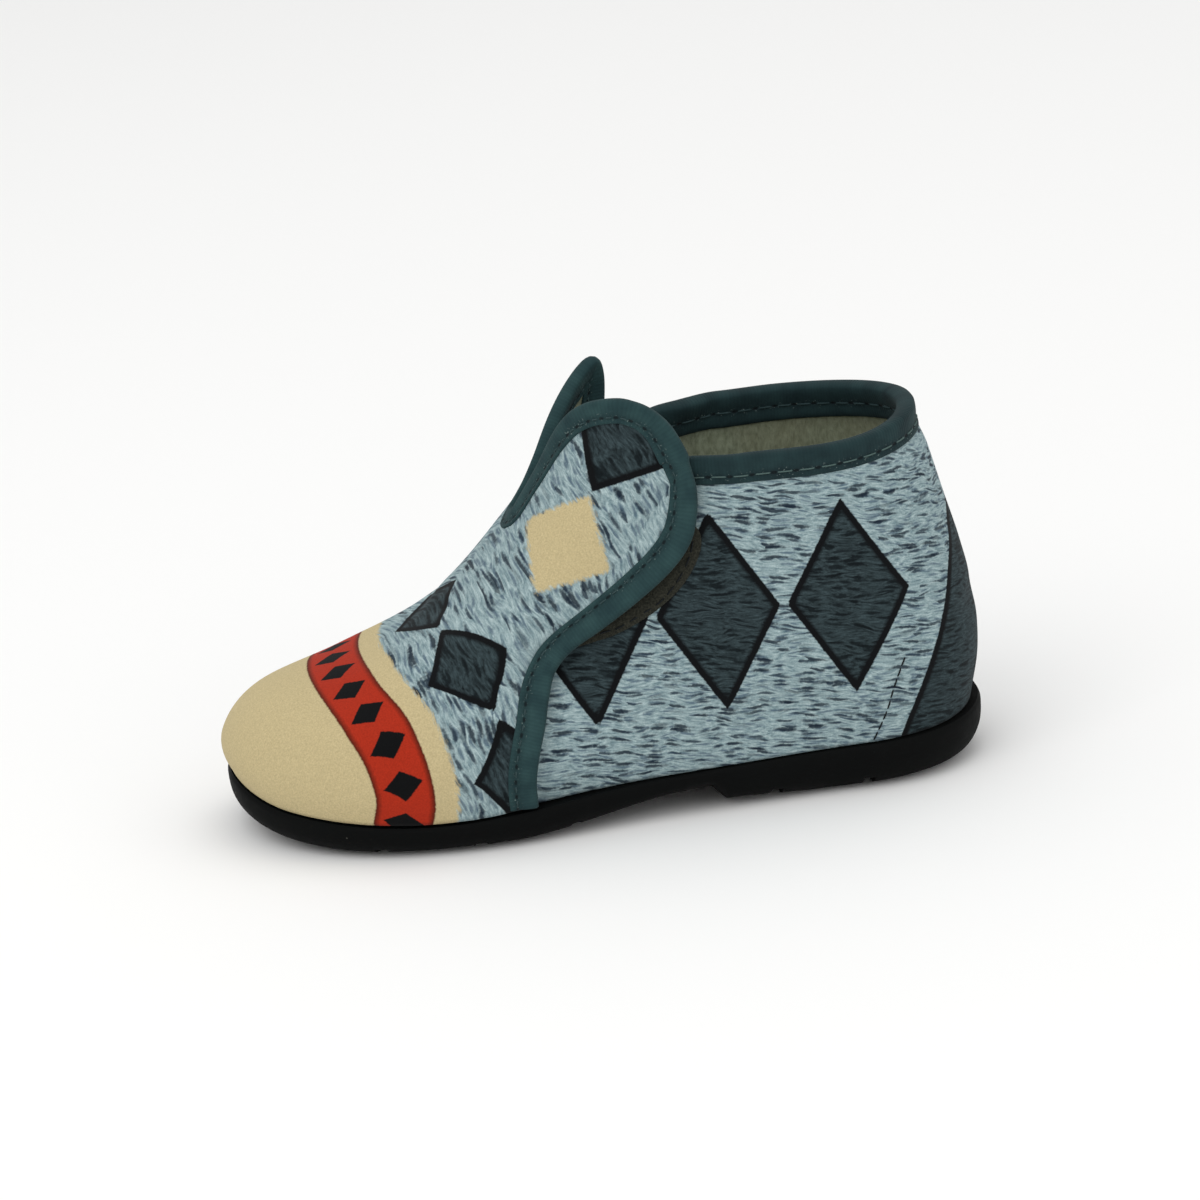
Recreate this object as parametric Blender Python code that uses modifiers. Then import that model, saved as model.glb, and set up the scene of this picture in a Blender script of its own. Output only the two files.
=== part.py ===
"""Child's textile house bootie, left shoe: a textile upper on a moulded sole, fastened by two flaps.

Metres, +Z up.  The toe points to -X, the heel to +X, and the lateral side faces -Y.

The last is one function, form(turn, level).  turn is the angle around the foot: 0 at the toe, 180 degrees
at the heel, positive on the lateral side.  level climbs from 0 at the feather line, where the upper meets
the sole, through the rows of LEVELS.  Every piece of the upper lies at a height over that function.
"""
import bpy
import bmesh
import numpy as np

MM = 0.001
COLLECTION = "house_bootie"
ROOT = "bootie_root"

# Driving dimensions
LAST_LENGTH = 153.6 * MM      # feather line, toe to heel
BALL_WIDTH = 60.0 * MM        # feather line, across the ball
COLLAR_HEIGHT = 76.0 * MM     # floor to collar at the heel
GAP = 0.3 * MM                # clearance between pieces that touch on the real shoe

# Proportions of the last: x along the foot, half widths, heights.  One row for each level.
LEVEL_COLUMNS = ("toe_x", "heel_x", "ball", "waist", "heel", "toe_z", "ball_z", "waist_z", "heel_z")
LEVELS = (
    (-77.8, 75.8, 30.0, 26.5, 25.0, 13.6, 7.6, 9.8, 10.0),      # 0 feather line
    (-79.0, 77.9, 31.0, 27.2, 26.0, 19.5, 15.0, 18.5, 21.0),    # 1 widest bulge
    (-72.8, 77.8, 28.4, 26.8, 25.8, 26.4, 23.6, 29.0, 33.0),    # 2 top of the toe
    (-57.5, 75.7, 23.0, 25.0, 25.0, 31.8, 32.4, 41.0, 45.0),    # 3 vamp
    (-38.0, 72.9, 19.6, 23.2, 24.0, 38.6, 45.5, 53.0, 56.0),    # 4 instep
    (-20.4, 70.3, 18.0, 21.8, 23.0, 54.3, 61.0, 65.5, 66.5),    # 5 notch between the flaps
    (-8.8, 67.8, 17.0, 21.0, 22.4, 70.0, 74.8, 75.4, 76.0),     # 6 collar
    (-0.5, 65.5, 16.0, 19.5, 21.0, 92.0, 92.0, 92.0, 92.0),     # 7 above the flaps
)
HEIGHT_TURNS = np.radians((0, 62, 98, 180))   # turns at which the four height columns hold
FEATHER_STEP = np.radians(30)
FEATHER_LINE = tuple(z * MM for z in (13.4, 9.2, 7.0, 9.2, 10.3, 10.8, 12.0))   # its height every 30 degrees
FEATHER_FADE = 2.0            # levels over which the feather line's own wave fades out
TOE_ROUND = 1.6               # length of the rounded toe, in ball half widths
HEEL_ROUND = 1.08             # length of the rounded heel, in heel half widths
TOE_POWER = 2.25              # 2 is an ellipse, more is squarer
HEEL_POWER = 2.15
TOE_SWING = 3.5 * MM          # toe leans to the medial side
WAIST_TUCK = 2.0 * MM         # extra hollow of the medial waist
WAIST_CENTRE = 8 * MM
WAIST_REACH = 22 * MM
SWING_LEVELS = 5              # swing and tuck fade out up to this level

# Upper
UPPER_WALL = 2.0 * MM
UPPER_COLUMNS = 64
UPPER_ROWS = 12
COLLAR_LEVEL = 6.0
THROAT_LEVEL = 4.7            # top of the shell at the front, under the vamp
THROAT_TURNS = np.radians((15, 76))   # throat edge climbs to the collar between these turns
LATERAL_DIP = 0.2             # levels by which the collar is lower at the middle of the lateral side

# Vamp with its two flaps.  Free edges are (level, turn in degrees) from the sole or the notch up to the tip.
LATERAL, MEDIAL = 1, -1       # sign of the turn on each side
VAMP_WALL = 1.3 * MM
VAMP_FOOT_LEVEL = 0.05
NOTCH_LEVEL = 5.42
VAMP_REAR_EDGE = {
    LATERAL: ((0.0, 75.0), (1.7, 75.2), (2.4, 73.3), (3.0, 70.3), (3.3, 71.0), (3.5, 74.8), (3.8, 79.6),
              (4.15, 83.5), (4.5, 84.8), (4.9, 83.2), (5.4, 79.6), (5.9, 73.2), (6.33, 65.0), (6.57, 56.0),
              (6.68, 46.0)),
    MEDIAL: ((0.0, 75.0), (1.7, 75.2), (2.4, 74.0), (3.0, 72.0), (3.6, 69.0), (4.2, 65.5), (4.8, 61.5),
             (5.4, 57.0), (5.9, 53.0), (6.25, 49.8), (6.55, 46.5), (6.75, 42.5)),
}
VAMP_FRONT_EDGE = {
    LATERAL: ((NOTCH_LEVEL, 2.6), (5.8, 3.4), (6.23, 9.0), (6.5, 18.0), (6.63, 28.0), (6.68, 38.0)),
    MEDIAL: ((NOTCH_LEVEL, 2.6), (5.8, 4.0), (6.1, 10.0), (6.34, 18.5), (6.53, 27.5), (6.67, 34.5),
             (6.75, 39.5)),
}
EDGE_SAMPLES = 300            # points at which a free edge's curve is worked out
VAMP_HALF_COLUMNS = 14
VAMP_ROWS = 17                # feather line to notch
FLAP_ROWS = 11                # notch to flap tip
FLAP_TIP_STEPS = 3            # tape lengths across the tip
FLAP_CROWN = np.radians(84)   # rows close up towards the flap tip as along an arc of this angle
VAMP_SEAT = 0.5 * MM          # height of the vamp's back over the upper at the toe
EDGE_LIFT = 0.8 * MM          # more height at the free edge, room for the folded tape
FLAP_LIFT = 1.1 * MM          # more height in the flaps, room for the loop patch
LIFT_TURNS = np.radians((5, 58))
FLAP_LIFT_LEVELS = (2.2, 3.2)

# Folded tape on the edges
VAMP_TAPE_WIDTH = 5.0 * MM
FLAP_TAPE_WIDTH = 4.0 * MM    # on the flaps' tips and front edges
FLAP_TAPE_LEVELS = (6.0, 6.68)   # it narrows between these levels
FLAP_TIP_TURN = np.radians(38)   # the front edges lie ahead of this turn
COLLAR_TAPE_WIDTH = 5.0 * MM
TAPE_THICK = 0.5 * MM
COLLAR_TAPE_END = np.radians(58)   # the tape ends under the flaps
TAPE_GAP = 0.45 * MM          # clearance inside the fold, where the walls curve
TAPE_SHARES = (0, 0.5, 1)     # points across each flange, from the fold to its edge
FOLD_SHARES = (0.75, 0.25)    # points around the fold

# Loop patch under the lateral flap
PATCH_THICK = 0.9 * MM
PATCH_LEVELS = (3.28, 4.85)
PATCH_TURN = np.radians(74)
PATCH_HALF_TURN = np.radians(15.5)
PATCH_POWER = 2.3             # corner shape, as for the toe
PATCH_END = 0.97              # the straight top and bottom edges lie at this share of that shape
PATCH_COLUMNS = 8
PATCH_ROWS = 10

# Sole
SOLE_MARGIN_TOE = 3.0 * MM    # sole edge outside the last
SOLE_MARGIN_BALL = 3.7 * MM
SOLE_MARGIN_WAIST = 1.6 * MM
SOLE_MARGIN_HEEL = 2.5 * MM
SOLE_STATIONS = 34
STATION_CLEAR = np.radians(1.2)   # even stations keep this far from the edges of a groove
TOE_SPRING_START = -52 * MM
TOE_SPRING = 2.6 * MM
TOE_SPRING_POWER = 2.4
ARCH_FRONT = -24 * MM
ARCH_RISE = 4.6 * MM
BREAST_TOP = 17 * MM          # the heel breast slopes from here
BREAST_FOOT = 20.5 * MM       # down to here
HEEL_LIFT = 0.9 * MM          # the heel's front edge is this high
HEEL_FLAT = 42 * MM           # and the heel lies flat from here back
GROOVES = tuple(x * MM for x in (-52, -32, -12, 30.5, 50))
GROOVE_WIDTH = 2.4 * MM
GROOVE_DEPTH = 1.2 * MM
GROOVE_SLOPE = 0.25 * MM
SOLE_RINGS = (                # set back from the edge, share of the side's height
    (0.5 * MM, 1.00),         # top rim
    (0.0 * MM, 0.87),         # lip
    (0.5 * MM, 0.50),         # side
    (2.6 * MM, 0.19),         # rounded lower edge
    (6.5 * MM, 0.00),         # tread
)

# Insole
INSOLE_THICK = 3.5 * MM
INSOLE_INSET = UPPER_WALL + 0.9 * MM
INSOLE_EDGE = 1.0 * MM        # rounding of its top edge

# Meshing
WELD = 0.01 * MM
SMOOTH_ANGLE = np.radians(40)
SLOPE_STEP = 0.002            # step in turn or level over which a slope is taken


def proportions():
    """LEVELS stretched to the driving dimensions, in metres."""
    table = np.array(LEVELS)
    first = dict(zip(LEVEL_COLUMNS, table[0]))
    along = LAST_LENGTH / (first["heel_x"] - first["toe_x"])
    across = BALL_WIDTH / (2 * first["ball"])
    up = COLLAR_HEIGHT / table[int(COLLAR_LEVEL)][LEVEL_COLUMNS.index("heel_z")]
    return table * ([along] * 2 + [across] * 3 + [up] * 4)


LAST = proportions()
HEIGHT_FIT = np.linalg.inv(np.cos(np.outer(HEIGHT_TURNS, np.arange(4))))


def ease(t):
    """Smooth step from 0 to 1."""
    t = np.clip(t, 0, 1)
    return t * t * (3 - 2 * t)


def between(value, limits):
    """How far value has come from the first limit to the second, eased."""
    return ease((value - limits[0]) / (limits[1] - limits[0]))


def through(table, place):
    """Catmull-Rom curve through the rows of a table, at fractional row numbers."""
    place = np.clip(np.asarray(place, float), 0, len(table) - 1)
    row = np.minimum(place.astype(int), len(table) - 2)
    t = (place - row)[..., None]
    here, after = table[row], table[row + 1]
    before = np.where((row > 0)[..., None], table[np.maximum(row - 1, 0)], 2 * here - after)
    beyond = table[np.minimum(row + 2, len(table) - 1)]
    last = np.where((row < len(table) - 2)[..., None], beyond, 2 * after - here)
    square = (2 * before - 5 * here + 4 * after - last) * t**2
    cube = (3 * here - before - 3 * after + last) * t**3
    return 0.5 * (2 * here + (after - before) * t + square + cube)


def wave_through(heights, turn):
    """Smooth wave around the foot that meets the heights at HEIGHT_TURNS."""
    return sum(wave * np.cos(n * turn) for n, wave in enumerate(np.tensordot(HEIGHT_FIT, heights, 1)))


def feather_height(turn):
    """Height of the feather line, the same on both sides."""
    place = np.abs((turn + np.pi) % (2 * np.pi) - np.pi) / FEATHER_STEP
    mirrored = np.array([FEATHER_LINE[1], *FEATHER_LINE, FEATHER_LINE[-2]])
    return through(mirrored[:, None], place + 1)[..., 0]


def form(turn, level):
    """Point on the last."""
    turn, level = np.broadcast_arrays(np.asarray(turn, float), np.asarray(level, float))
    size = dict(zip(LEVEL_COLUMNS, np.moveaxis(through(LAST, level), -1, 0)))
    toe_x, heel_x = size["toe_x"], size["heel_x"]
    x = toe_x + (heel_x - toe_x) * (1 - np.cos(turn)) / 2
    ball_x = toe_x + TOE_ROUND * size["ball"]
    rear_x = heel_x - HEEL_ROUND * size["heel"]
    waist_x = (ball_x + rear_x) / 2
    half = size["ball"] + (size["waist"] - size["ball"]) * between(x, (ball_x, waist_x))
    half = half + (size["heel"] - size["waist"]) * between(x, (waist_x, rear_x))
    front = np.clip((ball_x - x) / (ball_x - toe_x), 0, 1)
    rear = np.clip((x - rear_x) / (heel_x - rear_x), 0, 1)
    half = half * (1 - front**TOE_POWER) ** (1 / TOE_POWER) * (1 - rear**HEEL_POWER) ** (1 / HEEL_POWER)
    side = -np.sign(np.sin(turn))
    low = np.clip(1 - level / SWING_LEVELS, 0, 1)
    tuck = np.where(side > 0, WAIST_TUCK * low * np.exp(-(((x - WAIST_CENTRE) / WAIST_REACH) ** 2)), 0)
    y = side * (half - tuck) + TOE_SWING * low * front**2
    heights = np.stack([size["toe_z"], size["ball_z"], size["waist_z"], size["heel_z"]])
    z = wave_through(heights, turn)
    start = wave_through(LAST[0][-len(heights):], turn)
    z = z + (feather_height(turn) - start) * ease(1 - level / FEATHER_FADE)
    return np.stack([x, y, z], -1)


def unit(vectors):
    return vectors / np.linalg.norm(vectors, axis=-1, keepdims=True)


def directions(turn, level):
    """How the last's point moves with turn and with level."""
    top = len(LEVELS) - 1
    low, high = np.clip(level - SLOPE_STEP, 0, top), np.clip(level + SLOPE_STEP, 0, top)
    along = (form(turn + SLOPE_STEP, level) - form(turn - SLOPE_STEP, level)) / (2 * SLOPE_STEP)
    climb = (form(turn, high) - form(turn, low)) / (high - low)[..., None]
    return along, climb


def outward(turn, level):
    """Unit normal of the last, kept level where it would dip into the sole."""
    turn, level = np.broadcast_arrays(np.asarray(turn, float), np.asarray(level, float))
    normal = unit(np.cross(*directions(turn, level)))
    dip = normal[..., 2] < 0
    normal[..., 2] = np.where(dip, normal[..., 2] * ease(level), normal[..., 2])
    return unit(normal)


def skin(turn, level, height):
    """Point at a height over the last."""
    return form(turn, level) + np.asarray(height, float)[..., None] * outward(turn, level)


def walk(turn, level, heading, distance, steps=4):
    """Turn and level reached by walking over the last in a heading."""
    for _ in range(steps):
        along, climb = directions(turn, level)
        basis = np.stack([along, climb], -1)
        goal = (heading * np.asarray(distance)[..., None] / steps)[..., None]
        move = np.linalg.pinv(basis) @ goal
        turn, level = turn + move[..., 0, 0], level + move[..., 1, 0]
    return turn, level


def material(name, colour, roughness):
    """Principled material with an sRGB colour."""
    channels = [int(colour[i:i + 2], 16) / 255 for i in (1, 3, 5)]
    linear = [c / 12.92 if c <= 0.04045 else ((c + 0.055) / 1.055) ** 2.4 for c in channels]
    result = bpy.data.materials.new(name)
    result.use_nodes = True
    shader = result.node_tree.nodes["Principled BSDF"]
    shader.inputs["Base Color"].default_value = (*linear, 1)
    shader.inputs["Roughness"].default_value = roughness
    shader.inputs["Metallic"].default_value = 0
    return result


def part(name, points, faces, look, recalculate=False):
    """Object in the shoe's collection from points and faces, shaded smooth."""
    mesh = bpy.data.meshes.new(name)
    mesh.from_pydata([tuple(p) for p in points], [], faces)
    work = bmesh.new()
    work.from_mesh(mesh)
    bmesh.ops.remove_doubles(work, verts=work.verts, dist=WELD)
    if recalculate:
        bmesh.ops.recalc_face_normals(work, faces=work.faces)
    work.to_mesh(mesh)
    work.free()
    mesh.shade_smooth()
    mesh.set_sharp_from_angle(angle=SMOOTH_ANGLE)
    mesh.materials.append(look)
    made = bpy.data.objects.new(name, mesh)
    bpy.data.collections[COLLECTION].objects.link(made)
    made.parent = bpy.data.objects[ROOT]
    return made


def solidify(made, thickness, offset):
    """Give an open surface its wall: offset -1 grows inward, +1 outward."""
    wall = made.modifiers.new("wall", "SOLIDIFY")
    wall.thickness = thickness
    wall.offset = offset
    wall.use_even_offset = True


def quads(rows, columns, first=0, closed=False):
    """Faces of a grid of points stored row by row."""
    last = columns if closed else columns - 1
    faces = []
    for r in range(rows - 1):
        for c in range(last):
            right = (c + 1) % columns
            low, high = first + r * columns, first + (r + 1) * columns
            faces.append((low + c, low + right, high + right, high + c))
    return faces


def collar_level(turn):
    """Top edge of the upper."""
    climb = between(np.abs((turn + np.pi) % (2 * np.pi) - np.pi), THROAT_TURNS)
    dip = LATERAL_DIP * np.clip(np.sin(turn), 0, None) ** 2
    return THROAT_LEVEL + (COLLAR_LEVEL - THROAT_LEVEL) * climb - dip


def upper_turns():
    return np.linspace(0, 2 * np.pi, UPPER_COLUMNS, endpoint=False)


def build_upper(look):
    turns = upper_turns()
    shares = np.linspace(0, 1, UPPER_ROWS)
    points = form(turns[None, :], shares[:, None] * collar_level(turns)[None, :])
    upper = part("upper", points.reshape(-1, 3), quads(UPPER_ROWS, UPPER_COLUMNS, closed=True), look)
    solidify(upper, UPPER_WALL, -1)


def edge_curve(edge):
    """Smooth curve through the points of a free edge: levels and turns."""
    level, turn = through(np.array(edge), np.linspace(0, len(edge) - 1, EDGE_SAMPLES)).T
    return level, np.radians(turn)


def vamp_height(turn, level):
    """Height of the vamp's back over the last."""
    lift = between(np.abs(turn), LIFT_TURNS)
    return VAMP_SEAT + lift * (EDGE_LIFT + FLAP_LIFT * between(level, FLAP_LIFT_LEVELS))


def vamp_levels(side):
    """Rows of half the vamp: even along its lateral edge up to the notch, closing up towards the flap tip."""
    level, turn = edge_curve(VAMP_REAR_EDGE[LATERAL])
    body = (level > VAMP_FOOT_LEVEL) & (level < NOTCH_LEVEL)
    steps = np.linalg.norm(np.diff(form(turn[body], level[body]), axis=0), axis=1)
    run = np.concatenate([[0], np.cumsum(steps)])
    rows = np.interp(np.linspace(0, run[-1], VAMP_ROWS), run, level[body])
    rows[0], rows[-1] = VAMP_FOOT_LEVEL, NOTCH_LEVEL
    tip = VAMP_REAR_EDGE[side][-1][0]
    rise = np.sin(np.linspace(0, FLAP_CROWN, FLAP_ROWS + 1)) / np.sin(FLAP_CROWN)
    return np.concatenate([rows, NOTCH_LEVEL + (tip - NOTCH_LEVEL) * rise[1:]])


def vamp_limits(side, levels):
    """Front and rear turn of half the vamp at each row: the halves are one up to the notch."""
    front = np.interp(levels, *edge_curve(VAMP_FRONT_EDGE[side]))
    front[:VAMP_ROWS] = 0
    return side * front, side * np.interp(levels, *edge_curve(VAMP_REAR_EDGE[side]))


def build_vamp(look):
    points, faces = [], []
    shares = np.linspace(0, 1, VAMP_HALF_COLUMNS)
    for side in (LATERAL, MEDIAL):
        levels = vamp_levels(side)
        front, rear = vamp_limits(side, levels)
        turns = front[:, None] + shares[None, :] * (rear - front)[:, None]
        rows = np.broadcast_to(levels[:, None], turns.shape)
        grid = quads(len(levels), VAMP_HALF_COLUMNS, first=len(points))
        faces += grid if side == LATERAL else [face[::-1] for face in grid]
        points += list(skin(turns, rows, vamp_height(turns, rows)).reshape(-1, 3))
    vamp = part("vamp", points, faces, look)
    solidify(vamp, VAMP_WALL, 1)


def build_tape(name, turn, level, width, back, wall, look):
    """Folded tape over the edge of a wall whose back lies at the height back(turn, level) over the last."""
    edge = skin(turn, level, back(turn, level) + wall / 2)
    run = unit(np.gradient(edge, axis=0))
    inward = unit(np.cross(outward(turn, level), run))
    places = {share: walk(turn, level, inward, share * width) for share in TAPE_SHARES}

    def flange(shares, side, layer):
        """Points over the front (side 1) or the back (side -1) of the wall."""
        heights = {1: wall + layer, -1: -layer}
        return [skin(*places[share], back(*places[share]) + heights[side]) for share in shares]

    def nose(shares, layer):
        """Points around the wall's edge, at shares of its thickness."""
        return [skin(turn, level, back(turn, level) + share * wall) - layer * inward for share in shares]

    near, far = TAPE_GAP, TAPE_GAP + TAPE_THICK
    inward_run, outward_run = TAPE_SHARES, TAPE_SHARES[::-1]
    section = flange(outward_run, 1, far) + nose(FOLD_SHARES, far) + flange(inward_run, -1, far)
    section += flange(outward_run, -1, near) + nose((0, 1), near) + flange(inward_run, 1, near)
    points = np.stack(section, 1).reshape(-1, 3)
    rows, columns = len(turn), len(section)
    faces = quads(rows, columns, closed=True)
    faces.append(tuple(range(columns))[::-1])
    faces.append(tuple(range((rows - 1) * columns, rows * columns)))
    part(name, points, faces, look, recalculate=True)


def vamp_edge(side):
    """Turns and levels along half the vamp's free edge: sole, flap tip, down to the notch."""
    levels = vamp_levels(side)
    front, rear = vamp_limits(side, levels)
    tip = np.linspace(rear[-1], front[-1], FLAP_TIP_STEPS + 1)[1:-1]
    turn = np.concatenate([rear, tip, front[VAMP_ROWS:][::-1]])
    level = np.concatenate([levels, np.full(len(tip), levels[-1]), levels[VAMP_ROWS:][::-1]])
    return turn, level


def build_vamp_binding(look):
    lateral_turn, lateral_level = vamp_edge(LATERAL)
    medial_turn, medial_level = vamp_edge(MEDIAL)
    turn = np.concatenate([lateral_turn, [0], medial_turn[::-1]])
    level = np.concatenate([lateral_level, [NOTCH_LEVEL], medial_level[::-1]])
    narrowing = np.where(np.abs(turn) < FLAP_TIP_TURN, 1, between(level, FLAP_TAPE_LEVELS))
    width = VAMP_TAPE_WIDTH + (FLAP_TAPE_WIDTH - VAMP_TAPE_WIDTH) * narrowing
    build_tape("vamp_binding", turn, level, width, vamp_height, VAMP_WALL, look)


def upper_back(turn, level):
    """Height of the upper's lining over the last."""
    return np.full(np.shape(turn), -UPPER_WALL)


def build_collar_binding(look):
    turn = upper_turns()[::-1]
    turn = turn[(turn > COLLAR_TAPE_END) & (turn < 2 * np.pi - COLLAR_TAPE_END)]
    width = np.full(len(turn), COLLAR_TAPE_WIDTH)
    build_tape("collar_binding", turn, collar_level(turn), width, upper_back, UPPER_WALL, look)


def build_loop_patch(look):
    """Pad with rounded corners on the lateral quarter."""
    across = np.linspace(-1, 1, PATCH_ROWS)
    level = np.mean(PATCH_LEVELS) + across * np.ptp(PATCH_LEVELS) / 2
    rounding = (1 - np.abs(PATCH_END * across) ** PATCH_POWER) ** (1 / PATCH_POWER)
    turns = PATCH_TURN + np.linspace(-1, 1, PATCH_COLUMNS)[None, :] * PATCH_HALF_TURN * rounding[:, None]
    rows = np.broadcast_to(level[:, None], turns.shape)
    points = skin(turns, rows, np.full(turns.shape, GAP)).reshape(-1, 3)
    patch = part("loop_patch", points, quads(PATCH_ROWS, PATCH_COLUMNS), look)
    solidify(patch, PATCH_THICK, 1)


def sole_stations():
    """Turns of the sole's cross strips: even ones, and both edges of each groove and of the heel breast."""
    sharp = [BREAST_TOP, BREAST_FOOT]
    for groove in GROOVES:
        for side in (-1, 1):
            edge = groove + side * GROOVE_WIDTH / 2
            sharp += [edge - GROOVE_SLOPE / 2, edge + GROOVE_SLOPE / 2]
    toe = form(0, 0)[0]
    sharp_turns = np.arccos(1 - 2 * (np.array(sharp) - toe) / LAST_LENGTH)
    even = np.linspace(0, np.pi, SOLE_STATIONS)
    clear = np.abs(even[:, None] - sharp_turns[None, :]).min(1) > STATION_CLEAR
    return np.sort(np.concatenate([even[clear], sharp_turns]))


def tread_height(x):
    """Underside of the sole: toe spring, arch and heel breast."""
    spring_length = TOE_SPRING_START - form(0, 0)[0]
    spring = TOE_SPRING * (np.clip(TOE_SPRING_START - x, 0, None) / spring_length) ** TOE_SPRING_POWER
    arch = ARCH_RISE * between(x, (ARCH_FRONT, BREAST_TOP))
    breast = (ARCH_RISE - HEEL_LIFT) * between(x, (BREAST_TOP, BREAST_FOOT))
    heel = HEEL_LIFT * between(x, (BREAST_FOOT, HEEL_FLAT))
    return spring + arch - breast - heel


def in_groove(x):
    return np.any([np.abs(x - groove) < GROOVE_WIDTH / 2 for groove in GROOVES], axis=0)


def loop_of(stations):
    """Turns once around the foot: toe to heel on the lateral side, back on the medial side."""
    return np.concatenate([stations, -stations[-2:0:-1]])


def ring_points(turns, outset, height):
    """Ring around the feather line, moved out in plan, at the given heights."""
    feather = form(turns, 0)
    ahead = form(turns + SLOPE_STEP, 0) - form(turns - SLOPE_STEP, 0)
    away = unit(np.stack([ahead[:, 1], -ahead[:, 0]], -1))
    plan = feather[:, :2] + np.asarray(outset, float)[..., None] * away
    return np.concatenate([plan, height[:, None]], 1)


def strips(first, count, downward):
    """Faces across a ring between its two sides, toe to heel."""
    half = count // 2
    faces = [(first + 1, first, first + count - 1)]
    for i in range(1, half - 1):
        faces.append((first + i + 1, first + i, first + count - i, first + count - i - 1))
    faces.append((first + half, first + half - 1, first + half + 1))
    return [face[::-1] for face in faces] if downward else faces


def build_slab(name, rings, look):
    """Closed slab from rings, top ring first."""
    count = len(rings[0])
    faces = quads(len(rings), count, closed=True)
    faces += strips(0, count, False) + strips((len(rings) - 1) * count, count, True)
    part(name, np.concatenate(rings), faces, look, recalculate=True)


def build_outsole(look):
    turns = loop_of(sole_stations())
    feather = form(turns, 0)
    x = feather[:, 0]
    margin = np.interp(x, (x.min(), TOE_SPRING_START, ARCH_FRONT, BREAST_TOP, HEEL_FLAT, x.max()),
                       (SOLE_MARGIN_TOE, SOLE_MARGIN_BALL, SOLE_MARGIN_BALL, SOLE_MARGIN_WAIST,
                        SOLE_MARGIN_WAIST, SOLE_MARGIN_HEEL))
    top = feather[:, 2] - GAP
    floor = tread_height(x)
    rings = []
    for setback, share in SOLE_RINGS:
        height = floor + share * (top - floor)
        if share == 0:
            height = height + np.where(in_groove(x), GROOVE_DEPTH, 0)
        rings.append(ring_points(turns, margin - setback, height))
    build_slab("outsole", rings, look)


def build_insole(look):
    turns = loop_of(np.linspace(0, np.pi, SOLE_STATIONS))
    under = form(turns, 0)[:, 2]
    inset = np.full(len(turns), -INSOLE_INSET)
    rings = [
        ring_points(turns, inset - INSOLE_EDGE, under + INSOLE_THICK),
        ring_points(turns, inset, under + INSOLE_THICK - INSOLE_EDGE),
        ring_points(turns, inset, under),
    ]
    build_slab("insole", rings, look)


def stand_on_origin(root):
    """Put the middle of the shoe's box over the origin and its tread on the floor."""
    bpy.context.view_layer.update()
    graph = bpy.context.evaluated_depsgraph_get()
    corners = []
    for child in root.children:
        corners += [child.matrix_world @ v.co for v in child.evaluated_get(graph).data.vertices]
    corners = np.array(corners)
    low, high = corners.min(0), corners.max(0)
    root.location = (-(low[0] + high[0]) / 2, -(low[1] + high[1]) / 2, -low[2])
    bpy.context.view_layer.update()


def main():
    for old in list(bpy.data.objects):
        bpy.data.objects.remove(old, do_unlink=True)
    shelf = bpy.data.collections.new(COLLECTION)
    bpy.context.scene.collection.children.link(shelf)
    root = bpy.data.objects.new(ROOT, None)
    shelf.objects.link(root)

    tape = material("binding tape", "#2d4148", 0.85)
    build_outsole(material("moulded sole", "#141414", 0.6))
    build_insole(material("footbed fleece", "#8c7c66", 0.95))
    build_upper(material("quarter textile", "#a9b6bf", 0.9))
    build_vamp(material("vamp textile", "#c9bda4", 0.9))
    build_collar_binding(tape)
    build_vamp_binding(tape)
    build_loop_patch(material("loop pile", "#4b463c", 0.95))
    stand_on_origin(root)


main()
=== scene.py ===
"""Looks of a child's textile house bootie, the left shoe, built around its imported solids.

Metres, +Z up.  The toe points to -X, the heel to +X, and the lateral side faces -Y.
Every textile piece lies at a height over one last, form(turn, level), which is the solids' own: turn goes
around the foot from the toe, positive on the lateral side, and level climbs from the feather line.
"""

import bpy
import numpy as np
from mathutils import Matrix, Vector
from mathutils.kdtree import KDTree


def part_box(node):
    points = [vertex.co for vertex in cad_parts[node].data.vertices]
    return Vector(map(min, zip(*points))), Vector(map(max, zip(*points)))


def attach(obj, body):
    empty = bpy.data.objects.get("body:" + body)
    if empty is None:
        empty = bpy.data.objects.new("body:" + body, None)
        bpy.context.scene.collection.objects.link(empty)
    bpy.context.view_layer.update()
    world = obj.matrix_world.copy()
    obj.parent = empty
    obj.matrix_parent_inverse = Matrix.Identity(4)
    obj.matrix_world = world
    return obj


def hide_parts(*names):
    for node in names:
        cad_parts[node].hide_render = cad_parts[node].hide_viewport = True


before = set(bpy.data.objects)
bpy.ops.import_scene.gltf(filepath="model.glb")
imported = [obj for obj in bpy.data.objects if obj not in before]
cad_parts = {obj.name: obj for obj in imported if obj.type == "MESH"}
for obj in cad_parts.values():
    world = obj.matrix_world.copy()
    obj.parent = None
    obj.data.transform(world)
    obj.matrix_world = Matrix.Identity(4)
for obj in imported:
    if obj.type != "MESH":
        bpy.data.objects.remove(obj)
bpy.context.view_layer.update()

MM = 0.001

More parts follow.
